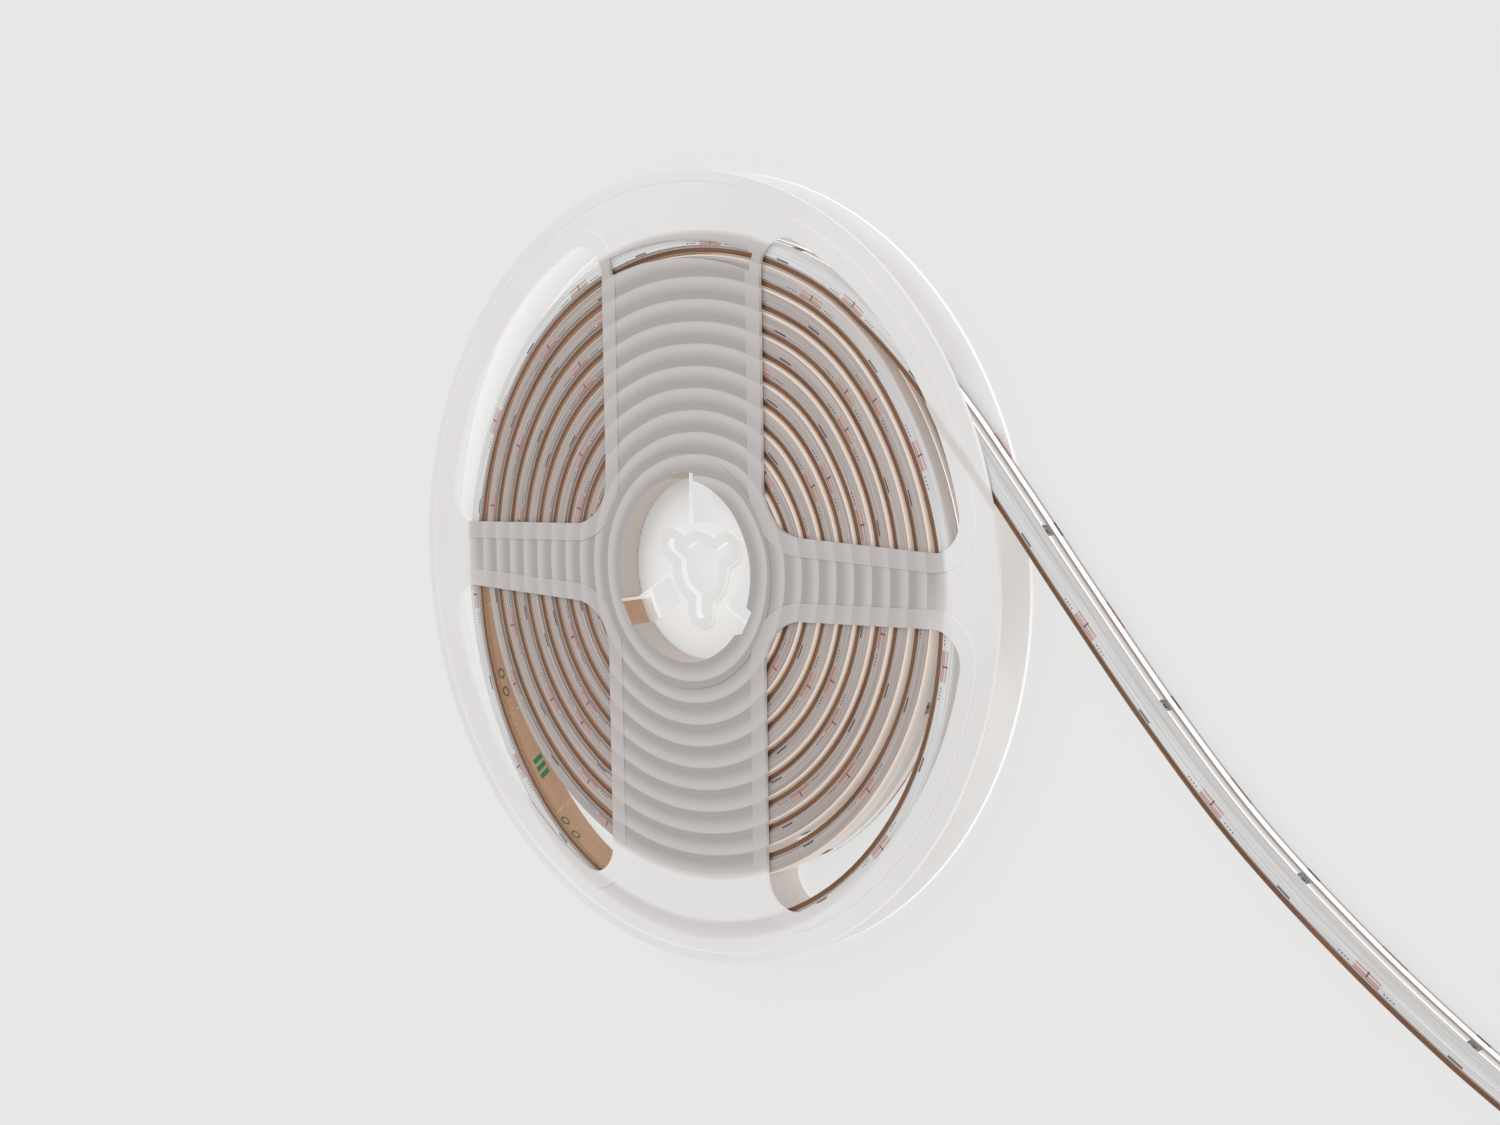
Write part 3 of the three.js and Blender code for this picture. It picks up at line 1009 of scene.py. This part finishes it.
@dataclass(frozen=True)
class ReleasePaper:
    """Tan glassine paper, with plain green bars and rings printed at intervals, a few creases drawn lighter,
    partly as painted glints, and a painted glow that leaves its front edge in painted shade.
    """

    colour: Colour = tint(188, 154, 126)
    fibre: Colour = tint(168, 132, 105)
    green: Colour = tint(18, 112, 72)
    thin_green: Colour = tint(74, 92, 52)
    # Lighter tone for the creases, partly the paper's own whitening and partly painted glint.
    crease: Colour = tint(226, 202, 178)
    period: float = 46.0
    # Painted glow, in place of light reaching the paper between the turns.
    glow: float = 0.25

    def material(self) -> bpy.types.Material:
        """Makes the paper."""
        shader = Shader("release_paper")
        along, across = shader.attribute("along"), shader.attribute("across")
        fibres = shader.noise(shader.vector(along * 0.5, across * 1.6, 0), 1.8, 4, 0.65)
        clouds = shader.noise(shader.vector(along * 0.03, across * 0.1, 2), 1, 2)
        colour = shader.blend((fibres * 0.6 + clouds * 0.4).ramp(0.36, 0.64), self.colour, self.fibre)
        bars = self.bars(along, across)
        colour = shader.blend(bars, colour, self.green)
        rings = self.rings(shader, along, across)
        colour = shader.blend(rings, colour, self.thin_green)
        wander = shader.noise(shader.vector(along * 0.11, across * 0.5, 5), 1, 2)
        # Crease lines, partly painted glint.
        crease = (along + across * 0.45 + wander * 3).repeat(31.0).size().ramp(0, 0.35, 1, 0)
        colour = shader.blend(crease * 0.7, colour, self.crease)
        return shader.finish(shader.principled(
            Base_Color=colour, Roughness=0.5 - bars * 0.1, Coat_Weight=0.15, Coat_Roughness=0.3,
            # Painted glow everywhere but the front edge, which is left darker as painted shade.
            Emission_Color=shader.blend(across.ramp(7.8, 8.8, self.glow, 0), (0, 0, 0), colour),
            Emission_Strength=1.0,
            Normal=shader.bump(fibres * 0.2 + crease, 0.00025)))

    def bars(self, along: Value, across: Value) -> Value:
        """Three bold slanted bars in each period."""
        lean = along + across * 0.5
        group = lean.repeat(self.period).size() < 3.4
        return group * (lean.repeat(2.3).size() < 0.72) * across.between(3.1, 6.9)

    def rings(self, shader: Shader, along: Value, across: Value) -> Value:
        """Two thin oval outlines midway between the bars."""
        spot = (along + self.period / 2).repeat(self.period)
        x = (spot.size() - 2.6) / 1.5
        y = (across - 7.4) / 1.1
        reach = shader.maths("SQRT", x * x + y * y)
        return (reach - 0.8).size() < 0.2


@dataclass(frozen=True)
class PlugSilicone:
    """Milky moulded silicone of the end plugs."""

    colour: Colour = tint(226, 224, 220)
    shade: Colour = tint(208, 206, 202)

    def material(self) -> bpy.types.Material:
        """Makes the plugs' silicone."""
        shader = Shader("plug_silicone")
        clouds = shader.noise(shader.place(), 240, 3)
        colour = shader.blend(clouds.ramp(0.35, 0.7), self.colour, self.shade)
        return shader.finish(shader.principled(
            Base_Color=colour, Roughness=0.34, Subsurface_Weight=0.2, Normal=shader.bump(clouds, 0.00004)))


@dataclass(frozen=True)
class ChipFinish:
    """A chip resistor: dark glaze between two tinned ends."""

    glaze: Colour = tint(40, 40, 44)
    speck: Colour = tint(70, 70, 76)
    tin: Colour = tint(196, 198, 202)

    def material(self) -> bpy.types.Material:
        """Makes the chip's finish."""
        shader = Shader("chip_resistor")
        ends = shader.attribute("along").size() > STRIP.chip_length / 2 - 0.4
        specks = shader.noise(shader.place(), 5200, 2)
        colour = shader.blend(specks.ramp(0.5, 0.7), self.glaze, self.speck)
        colour = shader.blend(ends, colour, self.tin)
        return shader.finish(shader.principled(
            Base_Color=colour, Roughness=0.3 + specks * 0.1, Metallic=ends * 0.9,
            Normal=shader.bump(specks, 0.00001)))


# The reel's two halves


@dataclass
class Flange:
    """What both halves share: a disc with four windows and panels between raised lips."""

    sizes: ReelSizes = field(default_factory=ReelSizes)
    edge_round: float = 0.14

    def window(self, margin: float) -> Outline:
        """The first quarter's window, its void grown by a margin on every side."""
        s = self.sizes
        taper = s.side_spoke_taper
        outer = s.rim_radius - s.window_inset + margin
        corner, heel = s.window_corner + margin, s.window_heel + margin
        upright = s.upright_spoke_half - margin
        side = s.side_spoke_half * math.cos(taper) - margin
        normal = Vector((math.sin(taper), math.cos(taper)))
        onward = Vector((math.cos(taper), -math.sin(taper)))

        def reach(offset: float) -> float:
            """How far along a spoke its rim corner's centre lies."""
            return math.sqrt((outer - corner) ** 2 - (offset + corner) ** 2)

        low = normal * (side + corner) + onward * reach(side)
        high = Vector((upright + corner, reach(upright)))
        heel_x = upright + heel
        heel_y = (side + heel - heel_x * math.sin(taper)) / math.cos(taper)
        low_angle, high_angle = math.atan2(low.y, low.x), math.atan2(high.y, high.x)
        return [
            *arc(low, corner, -math.pi / 2 - taper, low_angle),
            *arc(Vector((0, 0)), outer, low_angle, high_angle)[1:-1],
            *arc(high, corner, high_angle, math.pi),
            *arc(Vector((heel_x, heel_y)), heel, math.pi, 1.5 * math.pi - taper),
        ]

    def windows(self, margin: float) -> list[Outline]:
        """The windows of all four quarters."""
        outline = self.window(margin)
        return [[Vector((p.x * x, p.y * y)) for p in outline] for x in (1, -1) for y in (1, -1)]

    def recess(self, bottom: float, top: float) -> bmesh.types.BMesh:
        """What is cut away to leave the panels lower than the lips, the hub ring and the rim bead."""
        s = self.sizes
        ring = plate([circle(s.rim_radius - s.rim_bead), circle(s.hub_ring)], bottom, top)
        return Solid(ring).cut(plate(self.windows(s.lip_width), bottom - 1, top + 1)).mesh()


@dataclass
class FrontHalf(Flange):
    """The front flange, with the curved slot and the sleeve that fits in the hub."""

    def curved_slot(self) -> Outline:
        """The slot across the top spoke."""
        s = self.sizes
        outer = s.rim_radius - s.slot_inset
        start, end = math.pi / 2 - s.slot_half_angle, math.pi / 2 + s.slot_half_angle
        centre = Vector((0, 0))
        return arc(centre, outer, start, end) + arc(centre, outer - s.slot_height, end, start)

    def build(self) -> bmesh.types.BMesh:
        """Builds the whole moulding."""
        s = self.sizes
        loops = [circle(s.rim_radius), circle(s.hub_opening), *self.windows(0), self.curved_slot()]
        half = Solid(plate(loops, s.front_inner, s.depth))
        half.cut(self.recess(s.front_inner + s.panel_thickness, s.depth + 1))
        sleeve = [circle(s.hub_sleeve_outer), circle(s.hub_opening)]
        half.join(plate(sleeve, s.web_front + s.fit_gap, s.front_inner + s.flange_thickness / 2))
        notch = (s.hub_opening / 2, s.hub_sleeve_outer, s.web_front, s.depth + 1)
        bm = half.cut(radial_boxes(s.hub_slot_width, *notch, s.hub_slots)).mesh()
        soften(bm, self.edge_round)
        smooth_faces(bm)
        return bm


@dataclass
class RearHalf(Flange):
    """The rear flange, with the hub's wall and the web that holds the arbor hole.

    Each of the web's openings runs on through the hub's wall as a slot.
    """

    slot_step: float = 0.05

    def arbor_hole(self, margin: float) -> Outline:
        """The round hole with its three key slots, grown by a margin."""
        s = self.sizes
        radius, tip = s.arbor_radius + margin, s.key_width / 2 + margin
        mouth = math.asin(tip / radius)
        outline: Outline = []
        for key, following in zip(s.keys, (*s.keys[1:], s.keys[0] + math.tau)):
            centre = polar(s.key_reach - s.key_width / 2, key)
            outline += arc(centre, tip, key - math.pi / 2, key + math.pi / 2)
            outline += arc(Vector((0, 0)), radius, key + mouth, following - mouth)
        return outline

    def build(self) -> bmesh.types.BMesh:
        """Builds the whole moulding."""
        s = self.sizes
        disc = [circle(s.rim_radius), circle(s.hub_inner), *self.windows(0)]
        half = Solid(plate(disc, 0, s.flange_thickness))
        half.cut(self.recess(-1, s.flange_thickness - s.panel_thickness))
        wall = [circle(s.hub_radius), circle(s.hub_inner)]
        half.join(plate(wall, s.flange_thickness / 2, s.front_inner - s.fit_gap))
        disc = [circle(s.hub_inner + s.hub_wall / 2), self.arbor_hole(0)]
        web = Solid(plate(disc, s.web_back, s.web_front))
        collar = plate([self.arbor_hole(s.collar_width), self.arbor_hole(0)],
                       s.web_front - s.web_thickness / 2, s.web_front + s.collar_height)
        half.meet(web.join(collar), Boolean.JOIN)
        opening = (s.web_opening_start, s.hub_radius + 1, s.flange_thickness + self.slot_step, s.depth)
        bm = half.cut(radial_boxes(s.hub_slot_width, *opening, s.hub_slots)).mesh()
        soften(bm, self.edge_round)
        smooth_faces(bm)
        return bm


# The strip


@dataclass(frozen=True)
class Station:
    """A place on the strip's seat line: where, which way is outwards, and how far along."""

    point: Vector
    outward: Vector
    along: float


def hermite(knots: tuple[tuple[float, float], ...], x: float) -> float:
    """A smooth curve through knots, each slope taken from the knots beside it."""
    last = len(knots) - 1
    if x <= knots[0][0]:
        return knots[0][1]
    if x >= knots[last][0]:
        return knots[last][1]
    i = next(k for k in range(last) if x <= knots[k + 1][0])

    def slope(k: int) -> float:
        """The slope at a knot."""
        a, b = knots[max(k - 1, 0)], knots[min(k + 1, last)]
        return (b[1] - a[1]) / (b[0] - a[0])

    width = knots[i + 1][0] - knots[i][0]
    t = (x - knots[i][0]) / width
    return ((2 * t ** 3 - 3 * t ** 2 + 1) * knots[i][1] + (t ** 3 - 2 * t ** 2 + t) * width * slope(i)
            + (3 * t ** 2 - 2 * t ** 3) * knots[i + 1][1] + (t ** 3 - t ** 2) * width * slope(i + 1))


class SeatLine:
    """The line of the strip's inner face, from its end at the hub to its free end."""

    def __init__(self, reel: ReelSizes, strip: StripSizes, winding: Winding) -> None:
        """Works out the line's stations."""
        self.winding = winding
        self.pitch = strip.sleeve_top + winding.turn_gap
        deepest = -min(drop for _, drop in winding.turn_shape)
        self.outer = reel.hub_radius + winding.hub_gap + self.pitch * (winding.turns - 1 + deepest)
        self.knots = tuple((angle + 360 * turn, (drop - turn) * self.pitch)
                           for turn in (-1, 0, 1) for angle, drop in winding.turn_shape)
        points = self.wound() + self.tail()
        self.lengths = [0.0]
        for a, b in zip(points, points[1:]):
            self.lengths.append(self.lengths[-1] + (b - a).length)
        self.points = points
        self.length = self.lengths[-1]

    def seat(self, angle: float) -> Vector:
        """The seat at an angle in degrees, counted inwards from the free end."""
        wraps = math.floor((angle - self.winding.turn_shape[0][0]) / 360)
        drop = hermite(self.knots, angle - 360 * wraps)
        radius = self.outer - self.pitch * wraps + drop + hermite(self.winding.slack, angle)
        return polar(radius, math.radians(angle))

    def wound(self) -> list[Vector]:
        """The wound turns, from the hub outwards."""
        w = self.winding
        count = round(360 * w.turns / w.step)
        return [self.seat(w.departure + w.step * i) for i in range(count, 0, -1)]

    def under_rim(self) -> tuple[Vector, Vector]:
        """Two places on the free end, between which it passes under the front rim."""
        departure = self.seat(self.winding.departure)
        first, second = (departure + Vector(step) for step in self.winding.tail_route[:2])
        return first, second

    def tail(self) -> list[Vector]:
        """The free end, as a smooth curve through its route."""
        w = self.winding
        departure = self.seat(w.departure)
        route = [self.seat(w.departure + 18), departure]
        route += [departure + Vector(step) for step in w.tail_route]
        route.append(2 * route[-1] - route[-2])
        points = []
        for a, b, c, d in zip(route, route[1:], route[2:], route[3:]):
            for step in range(w.tail_steps):
                t = step / w.tail_steps
                points.append(0.5 * (2 * b + (c - a) * t + (2 * a - 5 * b + 4 * c - d) * t ** 2
                                     + (3 * b - a - 3 * c + d) * t ** 3))
        return [*points, route[-2]]

    def at(self, along: float) -> Station:
        """The station at a distance along the strip."""
        last = len(self.points) - 2
        span = next((i for i in range(last, -1, -1) if self.lengths[i] <= along), 0)
        a, b = self.points[span], self.points[span + 1]
        onward = (b - a).normalized()
        share = (along - self.lengths[span]) / (self.lengths[span + 1] - self.lengths[span])
        return Station(a.lerp(b, share), Vector((-onward.y, onward.x)), along)

    def stretch(self, start: float, end: float) -> list[Station]:
        """The stations from one distance to another."""
        stations = [self.at(start)]
        for i in range(1, len(self.points) - 1):
            if not start < self.lengths[i] < end:
                continue
            onward = (self.points[i + 1] - self.points[i - 1]).normalized()
            stations.append(Station(self.points[i], Vector((-onward.y, onward.x)), self.lengths[i]))
        return [*stations, self.at(end)]


Section = list[tuple[float, float]]


class Sweep:
    """A mesh swept along the strip, whose points carry their distance along, out and across."""

    def __init__(self, reel: ReelSizes) -> None:
        """Starts an empty mesh with its three layers."""
        self.base = reel.strip_base
        self.bm = bmesh.new()
        layers = self.bm.verts.layers.float
        self.along, self.out, self.across = (layers.new(name) for name in ("along", "out", "across"))

    def settle(self, vert: bmesh.types.BMVert, station: Station) -> None:
        """Puts a point of the section in its place at a station."""
        vert[self.along] = station.along
        place = station.point + station.outward * vert[self.out]
        vert.co = (place.x, place.y, self.base + vert[self.across])

    def loop(self, section: Section, stations: list[Station]) -> tuple[list, list]:
        """Sweeps one closed loop of the section.

        Args:
            section: the loop's points, out and across.
            stations: where it passes.

        Returns:
            The edges of its first ring and of its last.
        """
        ring = []
        for out, across in section:
            vert = self.bm.verts.new()
            vert[self.out], vert[self.across] = out, across
            self.settle(vert, stations[0])
            ring.append(vert)
        first = [self.bm.edges.new(pair) for pair in zip(ring, ring[1:] + ring[:1])]
        edges = first
        for station in stations[1:]:
            made = bmesh.ops.extrude_edge_only(self.bm, edges=edges)["geom"]
            edges = [e for e in made if isinstance(e, bmesh.types.BMEdge)]
            for vert in (v for v in made if isinstance(v, bmesh.types.BMVert)):
                self.settle(vert, station)
        return first, edges

    def body(self, section: Section, stations: list[Station], channel: Optional[Section] = None) -> None:
        """Sweeps a closed body, with a channel through it where one is given."""
        first, last = self.loop(section, stations)
        if channel is None:
            for ends in (first, last):
                bmesh.ops.edgeloop_fill(self.bm, edges=ends)
            return
        inner_first, inner_last = self.loop(channel, stations)
        for outer, inner in ((first, inner_first), (last, inner_last)):
            bmesh.ops.bridge_loops(self.bm, edges=outer + inner)

    def finished(self, limit: float = math.radians(35)) -> bmesh.types.BMesh:
        """Turns the faces outwards and shades them."""
        bmesh.ops.recalc_face_normals(self.bm, faces=self.bm.faces[:])
        smooth_faces(self.bm, limit)
        return self.bm


def oblong(start: float, end: float, width: float) -> Section:
    """A section with square corners, in the middle of the strip's width."""
    low, high = (REEL.strip_width - width) / 2, (REEL.strip_width + width) / 2
    return [(start, low), (end, low), (end, high), (start, high)]


@dataclass
class LightStrip:
    """The strip's layers, chips and end plugs, all on one seat line."""

    placer: Placer
    seat: SeatLine
    marks: StripMarks
    strip: StripSizes = field(default_factory=StripSizes)
    reel: ReelSizes = field(default_factory=ReelSizes)
    shoulder_steps: int = 5
    gel_steps: int = 6
    # Length of the strip's outer end that is painted as lit.
    lit_outer_length: float = 760.0
    plug_round: float = 0.25
    chip_round: float = 0.08

    def sleeve_outline(self) -> Section:
        """The sleeve's outside, with its two rounded shoulders."""
        s, width = self.strip, self.reel.strip_width
        centre = s.sleeve_top - s.shoulder_drop
        quarter = [math.pi / 2 * i / self.shoulder_steps for i in range(self.shoulder_steps + 1)]
        bend = [(centre + s.shoulder_drop * math.sin(a), s.shoulder_width * (1 - math.cos(a)))
                for a in quarter]
        far = [(out, width - across) for out, across in reversed(bend)]
        return [(s.sleeve_start, 0), *bend, *far, (s.sleeve_start, width)]

    def sleeve(self) -> None:
        """The clear sleeve with its channel."""
        s = self.strip
        ends = s.plug_length + self.reel.fit_gap
        sweep = Sweep(self.reel)
        channel = oblong(s.channel_start, s.channel_end, self.reel.strip_width - 2 * s.sleeve_side)
        sweep.body(self.sleeve_outline(), self.seat.stretch(ends, self.seat.length - ends), channel)
        bm = sweep.finished()
        for face in bm.faces:
            face.material_index = int(all(self.in_channel(vert, sweep) for vert in face.verts))
        silicone = ClearSilicone(self.marks, self.seat.length - self.lit_outer_length)
        materials = [silicone.material(), self.channel_finish()]
        self.placer.piece("clear_sleeve", bm, materials, "silicone", ["silicone_sleeve"])

    def in_channel(self, vert: bmesh.types.BMVert, sweep: Sweep) -> bool:
        """Whether a point of the sleeve is one of the channel's."""
        s, side = self.strip, self.strip.sleeve_side
        inside = side - 0.01 < vert[sweep.across] < self.reel.strip_width - side + 0.01
        return inside and s.channel_start - 0.01 < vert[sweep.out] < s.channel_end + 0.01

    def channel_finish(self) -> bpy.types.Material:
        """The channel's walls, which hardly show."""
        shader = Shader("channel_wall")
        faint = shader.noise(shader.place(), 400, 1)
        surface = shader.principled(Base_Color=tint(235, 235, 235), Roughness=0.3, Alpha=0.04 + faint * 0.04)
        return shader.finish(surface)

    def layer(self, name: str, section: Section, inset: float, material: bpy.types.Material, slot: str,
              node: str) -> None:
        """One of the strip's plain layers.

        Args:
            name: the piece's name.
            section: its section.
            inset: how far it stops short of both ends.
            material: its finish.
            slot: passed on to the piece, which does not use it.
            node: the frame's node that it stands for.
        """
        sweep = Sweep(self.reel)
        sweep.body(section, self.seat.stretch(inset, self.seat.length - inset))
        self.placer.piece(name, sweep.finished(), [material], slot, [node])

    def layers(self) -> None:
        """The board, the gel line, the tape and the paper."""
        s = self.strip
        inset = s.plug_length + s.plug_stub + self.reel.fit_gap
        board = oblong(s.board_start, s.board_top, s.board_width)
        self.layer("flex_board", board, inset, FlexBoard(self.marks).material(), "board", "circuit_board")
        self.layer("gel_line", self.gel_section(), inset, GelFinish().material(), "gel", "led_gel_line")
        tape = oblong(s.tape_start, s.tape_start + s.tape_thickness, s.tape_width)
        self.layer("foam_tape", tape, 0, FoamTape().material(), "tape", "adhesive_tape")
        paper = oblong(0, s.liner_thickness, s.tape_width)
        self.layer("release_paper", paper, 0, ReleasePaper().material(), "liner", "release_liner")

    def gel_section(self) -> Section:
        """A low rounded ridge on the board's middle."""
        s, middle = self.strip, self.reel.strip_width / 2
        foot = s.board_top + s.layer_gap
        angles = [math.pi * i / self.gel_steps for i in range(self.gel_steps + 1)]
        return [(foot + s.gel_height * math.sin(a), middle - s.gel_width / 2 * math.cos(a)) for a in angles]

    def plug(self, name: str, block: tuple[float, float], stub: tuple[float, float], node: str) -> None:
        """An end plug: a block with the sleeve's outline and a stub in its channel."""
        s, gap = self.strip, self.strip.plug_clearance
        outer = Sweep(self.reel)
        outer.body(self.sleeve_outline(), self.seat.stretch(*block))
        inner = Sweep(self.reel)
        width = self.reel.strip_width - 2 * (s.sleeve_side + gap)
        inner.body(oblong(s.channel_start + gap, s.channel_end - gap, width), self.seat.stretch(*stub))
        bm = Solid(outer.finished()).join(inner.finished()).mesh()
        soften(bm, self.plug_round, segments=3)
        smooth_faces(bm)
        self.placer.piece(name, bm, [PlugSilicone().material()], "plug", [node])

    def plugs(self) -> None:
        """The plugs at both ends."""
        s, end = self.strip, self.seat.length
        reach = s.plug_length + s.plug_stub
        self.plug("hub_end_plug", (0, s.plug_length), (s.plug_length / 2, reach), "inner_end_plug")
        self.plug("free_end_plug", (end - s.plug_length, end), (end - reach, end - s.plug_length / 2),
                  "outer_end_plug")

    def chip(self, bm: bmesh.types.BMesh, along: float) -> None:
        """Adds a chip with rounded edges to a mesh that has an along layer."""
        s = self.strip
        station = self.seat.at(along)
        layer = bm.verts.layers.float["along"]
        made = bmesh.ops.create_cube(bm, size=1)["verts"]
        bmesh.ops.scale(bm, vec=(s.chip_length, s.chip_height, s.chip_width), verts=made)
        edges = list({e for v in made for e in v.link_edges})
        bevelled = bmesh.ops.bevel(bm, geom=edges, offset=self.chip_round, offset_type="OFFSET",
                                   affect="EDGES", segments=2, profile=0.5, material=-1)["verts"]
        corners = {v for v in made if v.is_valid} | set(bevelled)
        for vert in corners:
            vert[layer] = vert.co.x
        outward = station.outward
        foot = s.board_top + s.layer_gap + s.chip_height / 2
        centre = station.point + outward * foot
        turn = Matrix.Rotation(math.atan2(outward.y, outward.x) - math.pi / 2, 4, "Z")
        height = self.reel.strip_base + self.reel.strip_width / 2
        place = Matrix.Translation((centre.x, centre.y, height)) @ turn
        bmesh.ops.transform(bm, matrix=place, verts=list(corners))

    def chips(self) -> None:
        """The chips of the free end, each its own piece, and those of the wound turns as one."""
        s = self.strip
        finish = ChipFinish().material()
        most = math.ceil(self.seat.length / s.chip_spacing)
        places = [self.seat.length - s.first_chip - s.chip_spacing * i for i in range(most)]
        places = [along for along in places if along > s.plug_length + s.plug_stub + s.chip_length]
        groups = [(f"resistor_chip_{i + 1}", [places[i]], [f"resistor_{i + 1}"])
                  for i in range(s.shown_chips)]
        groups.append(("wound_resistor_chips", places[s.shown_chips:], []))
        for name, group, nodes in groups:
            bm = bmesh.new()
            bm.verts.layers.float.new("along")
            for along in group:
                self.chip(bm, along)
            smooth_faces(bm)
            self.placer.piece(name, bm, [finish], "chip", nodes)


# The studio


@dataclass(frozen=True)
class Studio:
    """A pale floor and soft lamps, in metres, and the photograph's camera, in the reel's own millimetres."""

    placer: Placer
    floor_size: float = 12.0
    floor_colour: Colour = tint(232, 232, 232)
    floor_glow: float = 0.85
    floor_drop: float = 0.0002
    sky: float = 0.7
    key_place: tuple[float, float, float] = (-0.7, 0.9, 1.5)
    fill_place: tuple[float, float, float] = (1.3, -0.6, 1.1)
    camera_place: tuple[float, float, float] = (428.24, 62.46, 444.32)
    camera_target: tuple[float, float, float] = (11.5, 1.68, 0.0)
    camera_up: tuple[float, float, float] = (-0.0574, 0.995, -0.0822)
    lens: float = 58.01
    sensor: float = 36.0

    def floor(self) -> None:
        """The floor, just under the rear flange."""
        bm = bmesh.new()
        bmesh.ops.create_grid(bm, x_segments=1, y_segments=1, size=self.floor_size / 2)
        mesh = bpy.data.meshes.new("floor")
        bm.to_mesh(mesh)
        bm.free()
        shader = Shader("pale_floor")
        path = [shader.node("ShaderNodeLightPath", output=ray)
                for ray in ("Is Camera Ray", "Is Glossy Ray", "Is Transmission Ray")]
        seen = path[0].larger(path[1]).larger(path[2])
        matt = shader.node("ShaderNodeBsdfDiffuse", inputs={"Color": self.floor_colour})
        glow = shader.node("ShaderNodeEmission", inputs={"Color": self.floor_colour, "Strength": 1.0})
        surface = shader.node("ShaderNodeMixShader", inputs={0: seen * self.floor_glow, 1: matt, 2: glow})
        mesh.materials.append(shader.finish(surface))
        floor = bpy.data.objects.new("floor", mesh)
        bpy.context.scene.collection.objects.link(floor)
        floor.location = (0, 0, -self.floor_drop)

    def world(self) -> None:
        """A pale sky that lights the reel evenly."""
        world = bpy.data.worlds.new("studio")
        bpy.context.scene.world = world
        world.use_nodes = True
        background = world.node_tree.nodes["Background"]
        background.inputs["Color"].default_value = (1.0, 0.995, 0.99, 1)
        background.inputs["Strength"].default_value = self.sky

    def lamp(self, name: str, place: tuple[float, float, float], size: float, power: float) -> None:
        """A square soft white lamp aimed at the reel.

        Args:
            name: the lamp's name.
            place: where it hangs, in metres from the hub.
            size: its width in metres.
            power: its power in watts.
        """
        light = bpy.data.lights.new(name, "AREA")
        light.size = size
        light.energy = power
        item = bpy.data.objects.new(name, light)
        bpy.context.scene.collection.objects.link(item)
        item.location = self.placer.centre + Vector(place)
        item.rotation_euler = (-Vector(place)).to_track_quat("-Z", "Y").to_euler()

    def camera(self) -> None:
        """The camera at the photograph's viewing angle."""
        data = bpy.data.cameras.new("camera")
        data.lens = self.lens
        data.sensor_width = self.sensor
        data.clip_start = 0.01
        item = bpy.data.objects.new("camera", data)
        bpy.context.scene.collection.objects.link(item)
        place, target = (self.placer.point(*p) for p in (self.camera_place, self.camera_target))
        back = (place - target).normalized()
        right = Vector(self.camera_up).cross(back).normalized()
        turn = Matrix((right, back.cross(right), back)).transposed().to_4x4()
        item.matrix_world = Matrix.Translation(place) @ turn
        bpy.context.scene.camera = item

    def build(self) -> None:
        """Sets the camera, the floor and the light."""
        self.camera()
        self.floor()
        self.world()
        self.lamp("key", self.key_place, 1.4, 10)
        self.lamp("fill", self.fill_place, 1.2, 3.5)
        bpy.context.scene.view_settings.view_transform = "Standard"


def main() -> None:
    """Builds the reel, the strip and the studio."""
    logging.basicConfig(level=logging.INFO, format="%(name)s: %(message)s")
    placer = Placer()
    Studio(placer).build()
    seat = SeatLine(REEL, STRIP, Winding())
    milky = VeilPlastic("milky_plastic", placer.centre, tint(227, 225, 225), tint(221, 219, 218),
                        winding=seat.winding, pitch=seat.pitch, outer=seat.outer, tail=seat.under_rim())
    warm = WebbedPlastic("warm_plastic", placer.centre, tint(238, 237, 236), tint(232, 231, 230))
    placer.piece("front_half", FrontHalf().build(), [milky.material()], "front_plastic", ["front_flange"])
    placer.piece("rear_half", RearHalf().build(), [warm.material()], "rear_plastic", ["rear_flange"])
    strip = LightStrip(placer, seat, StripMarks(seat.length - STRIP.first_chip, STRIP.chip_spacing))
    strip.sleeve()
    strip.layers()
    strip.plugs()
    strip.chips()


if __name__ == "__main__":
    main()
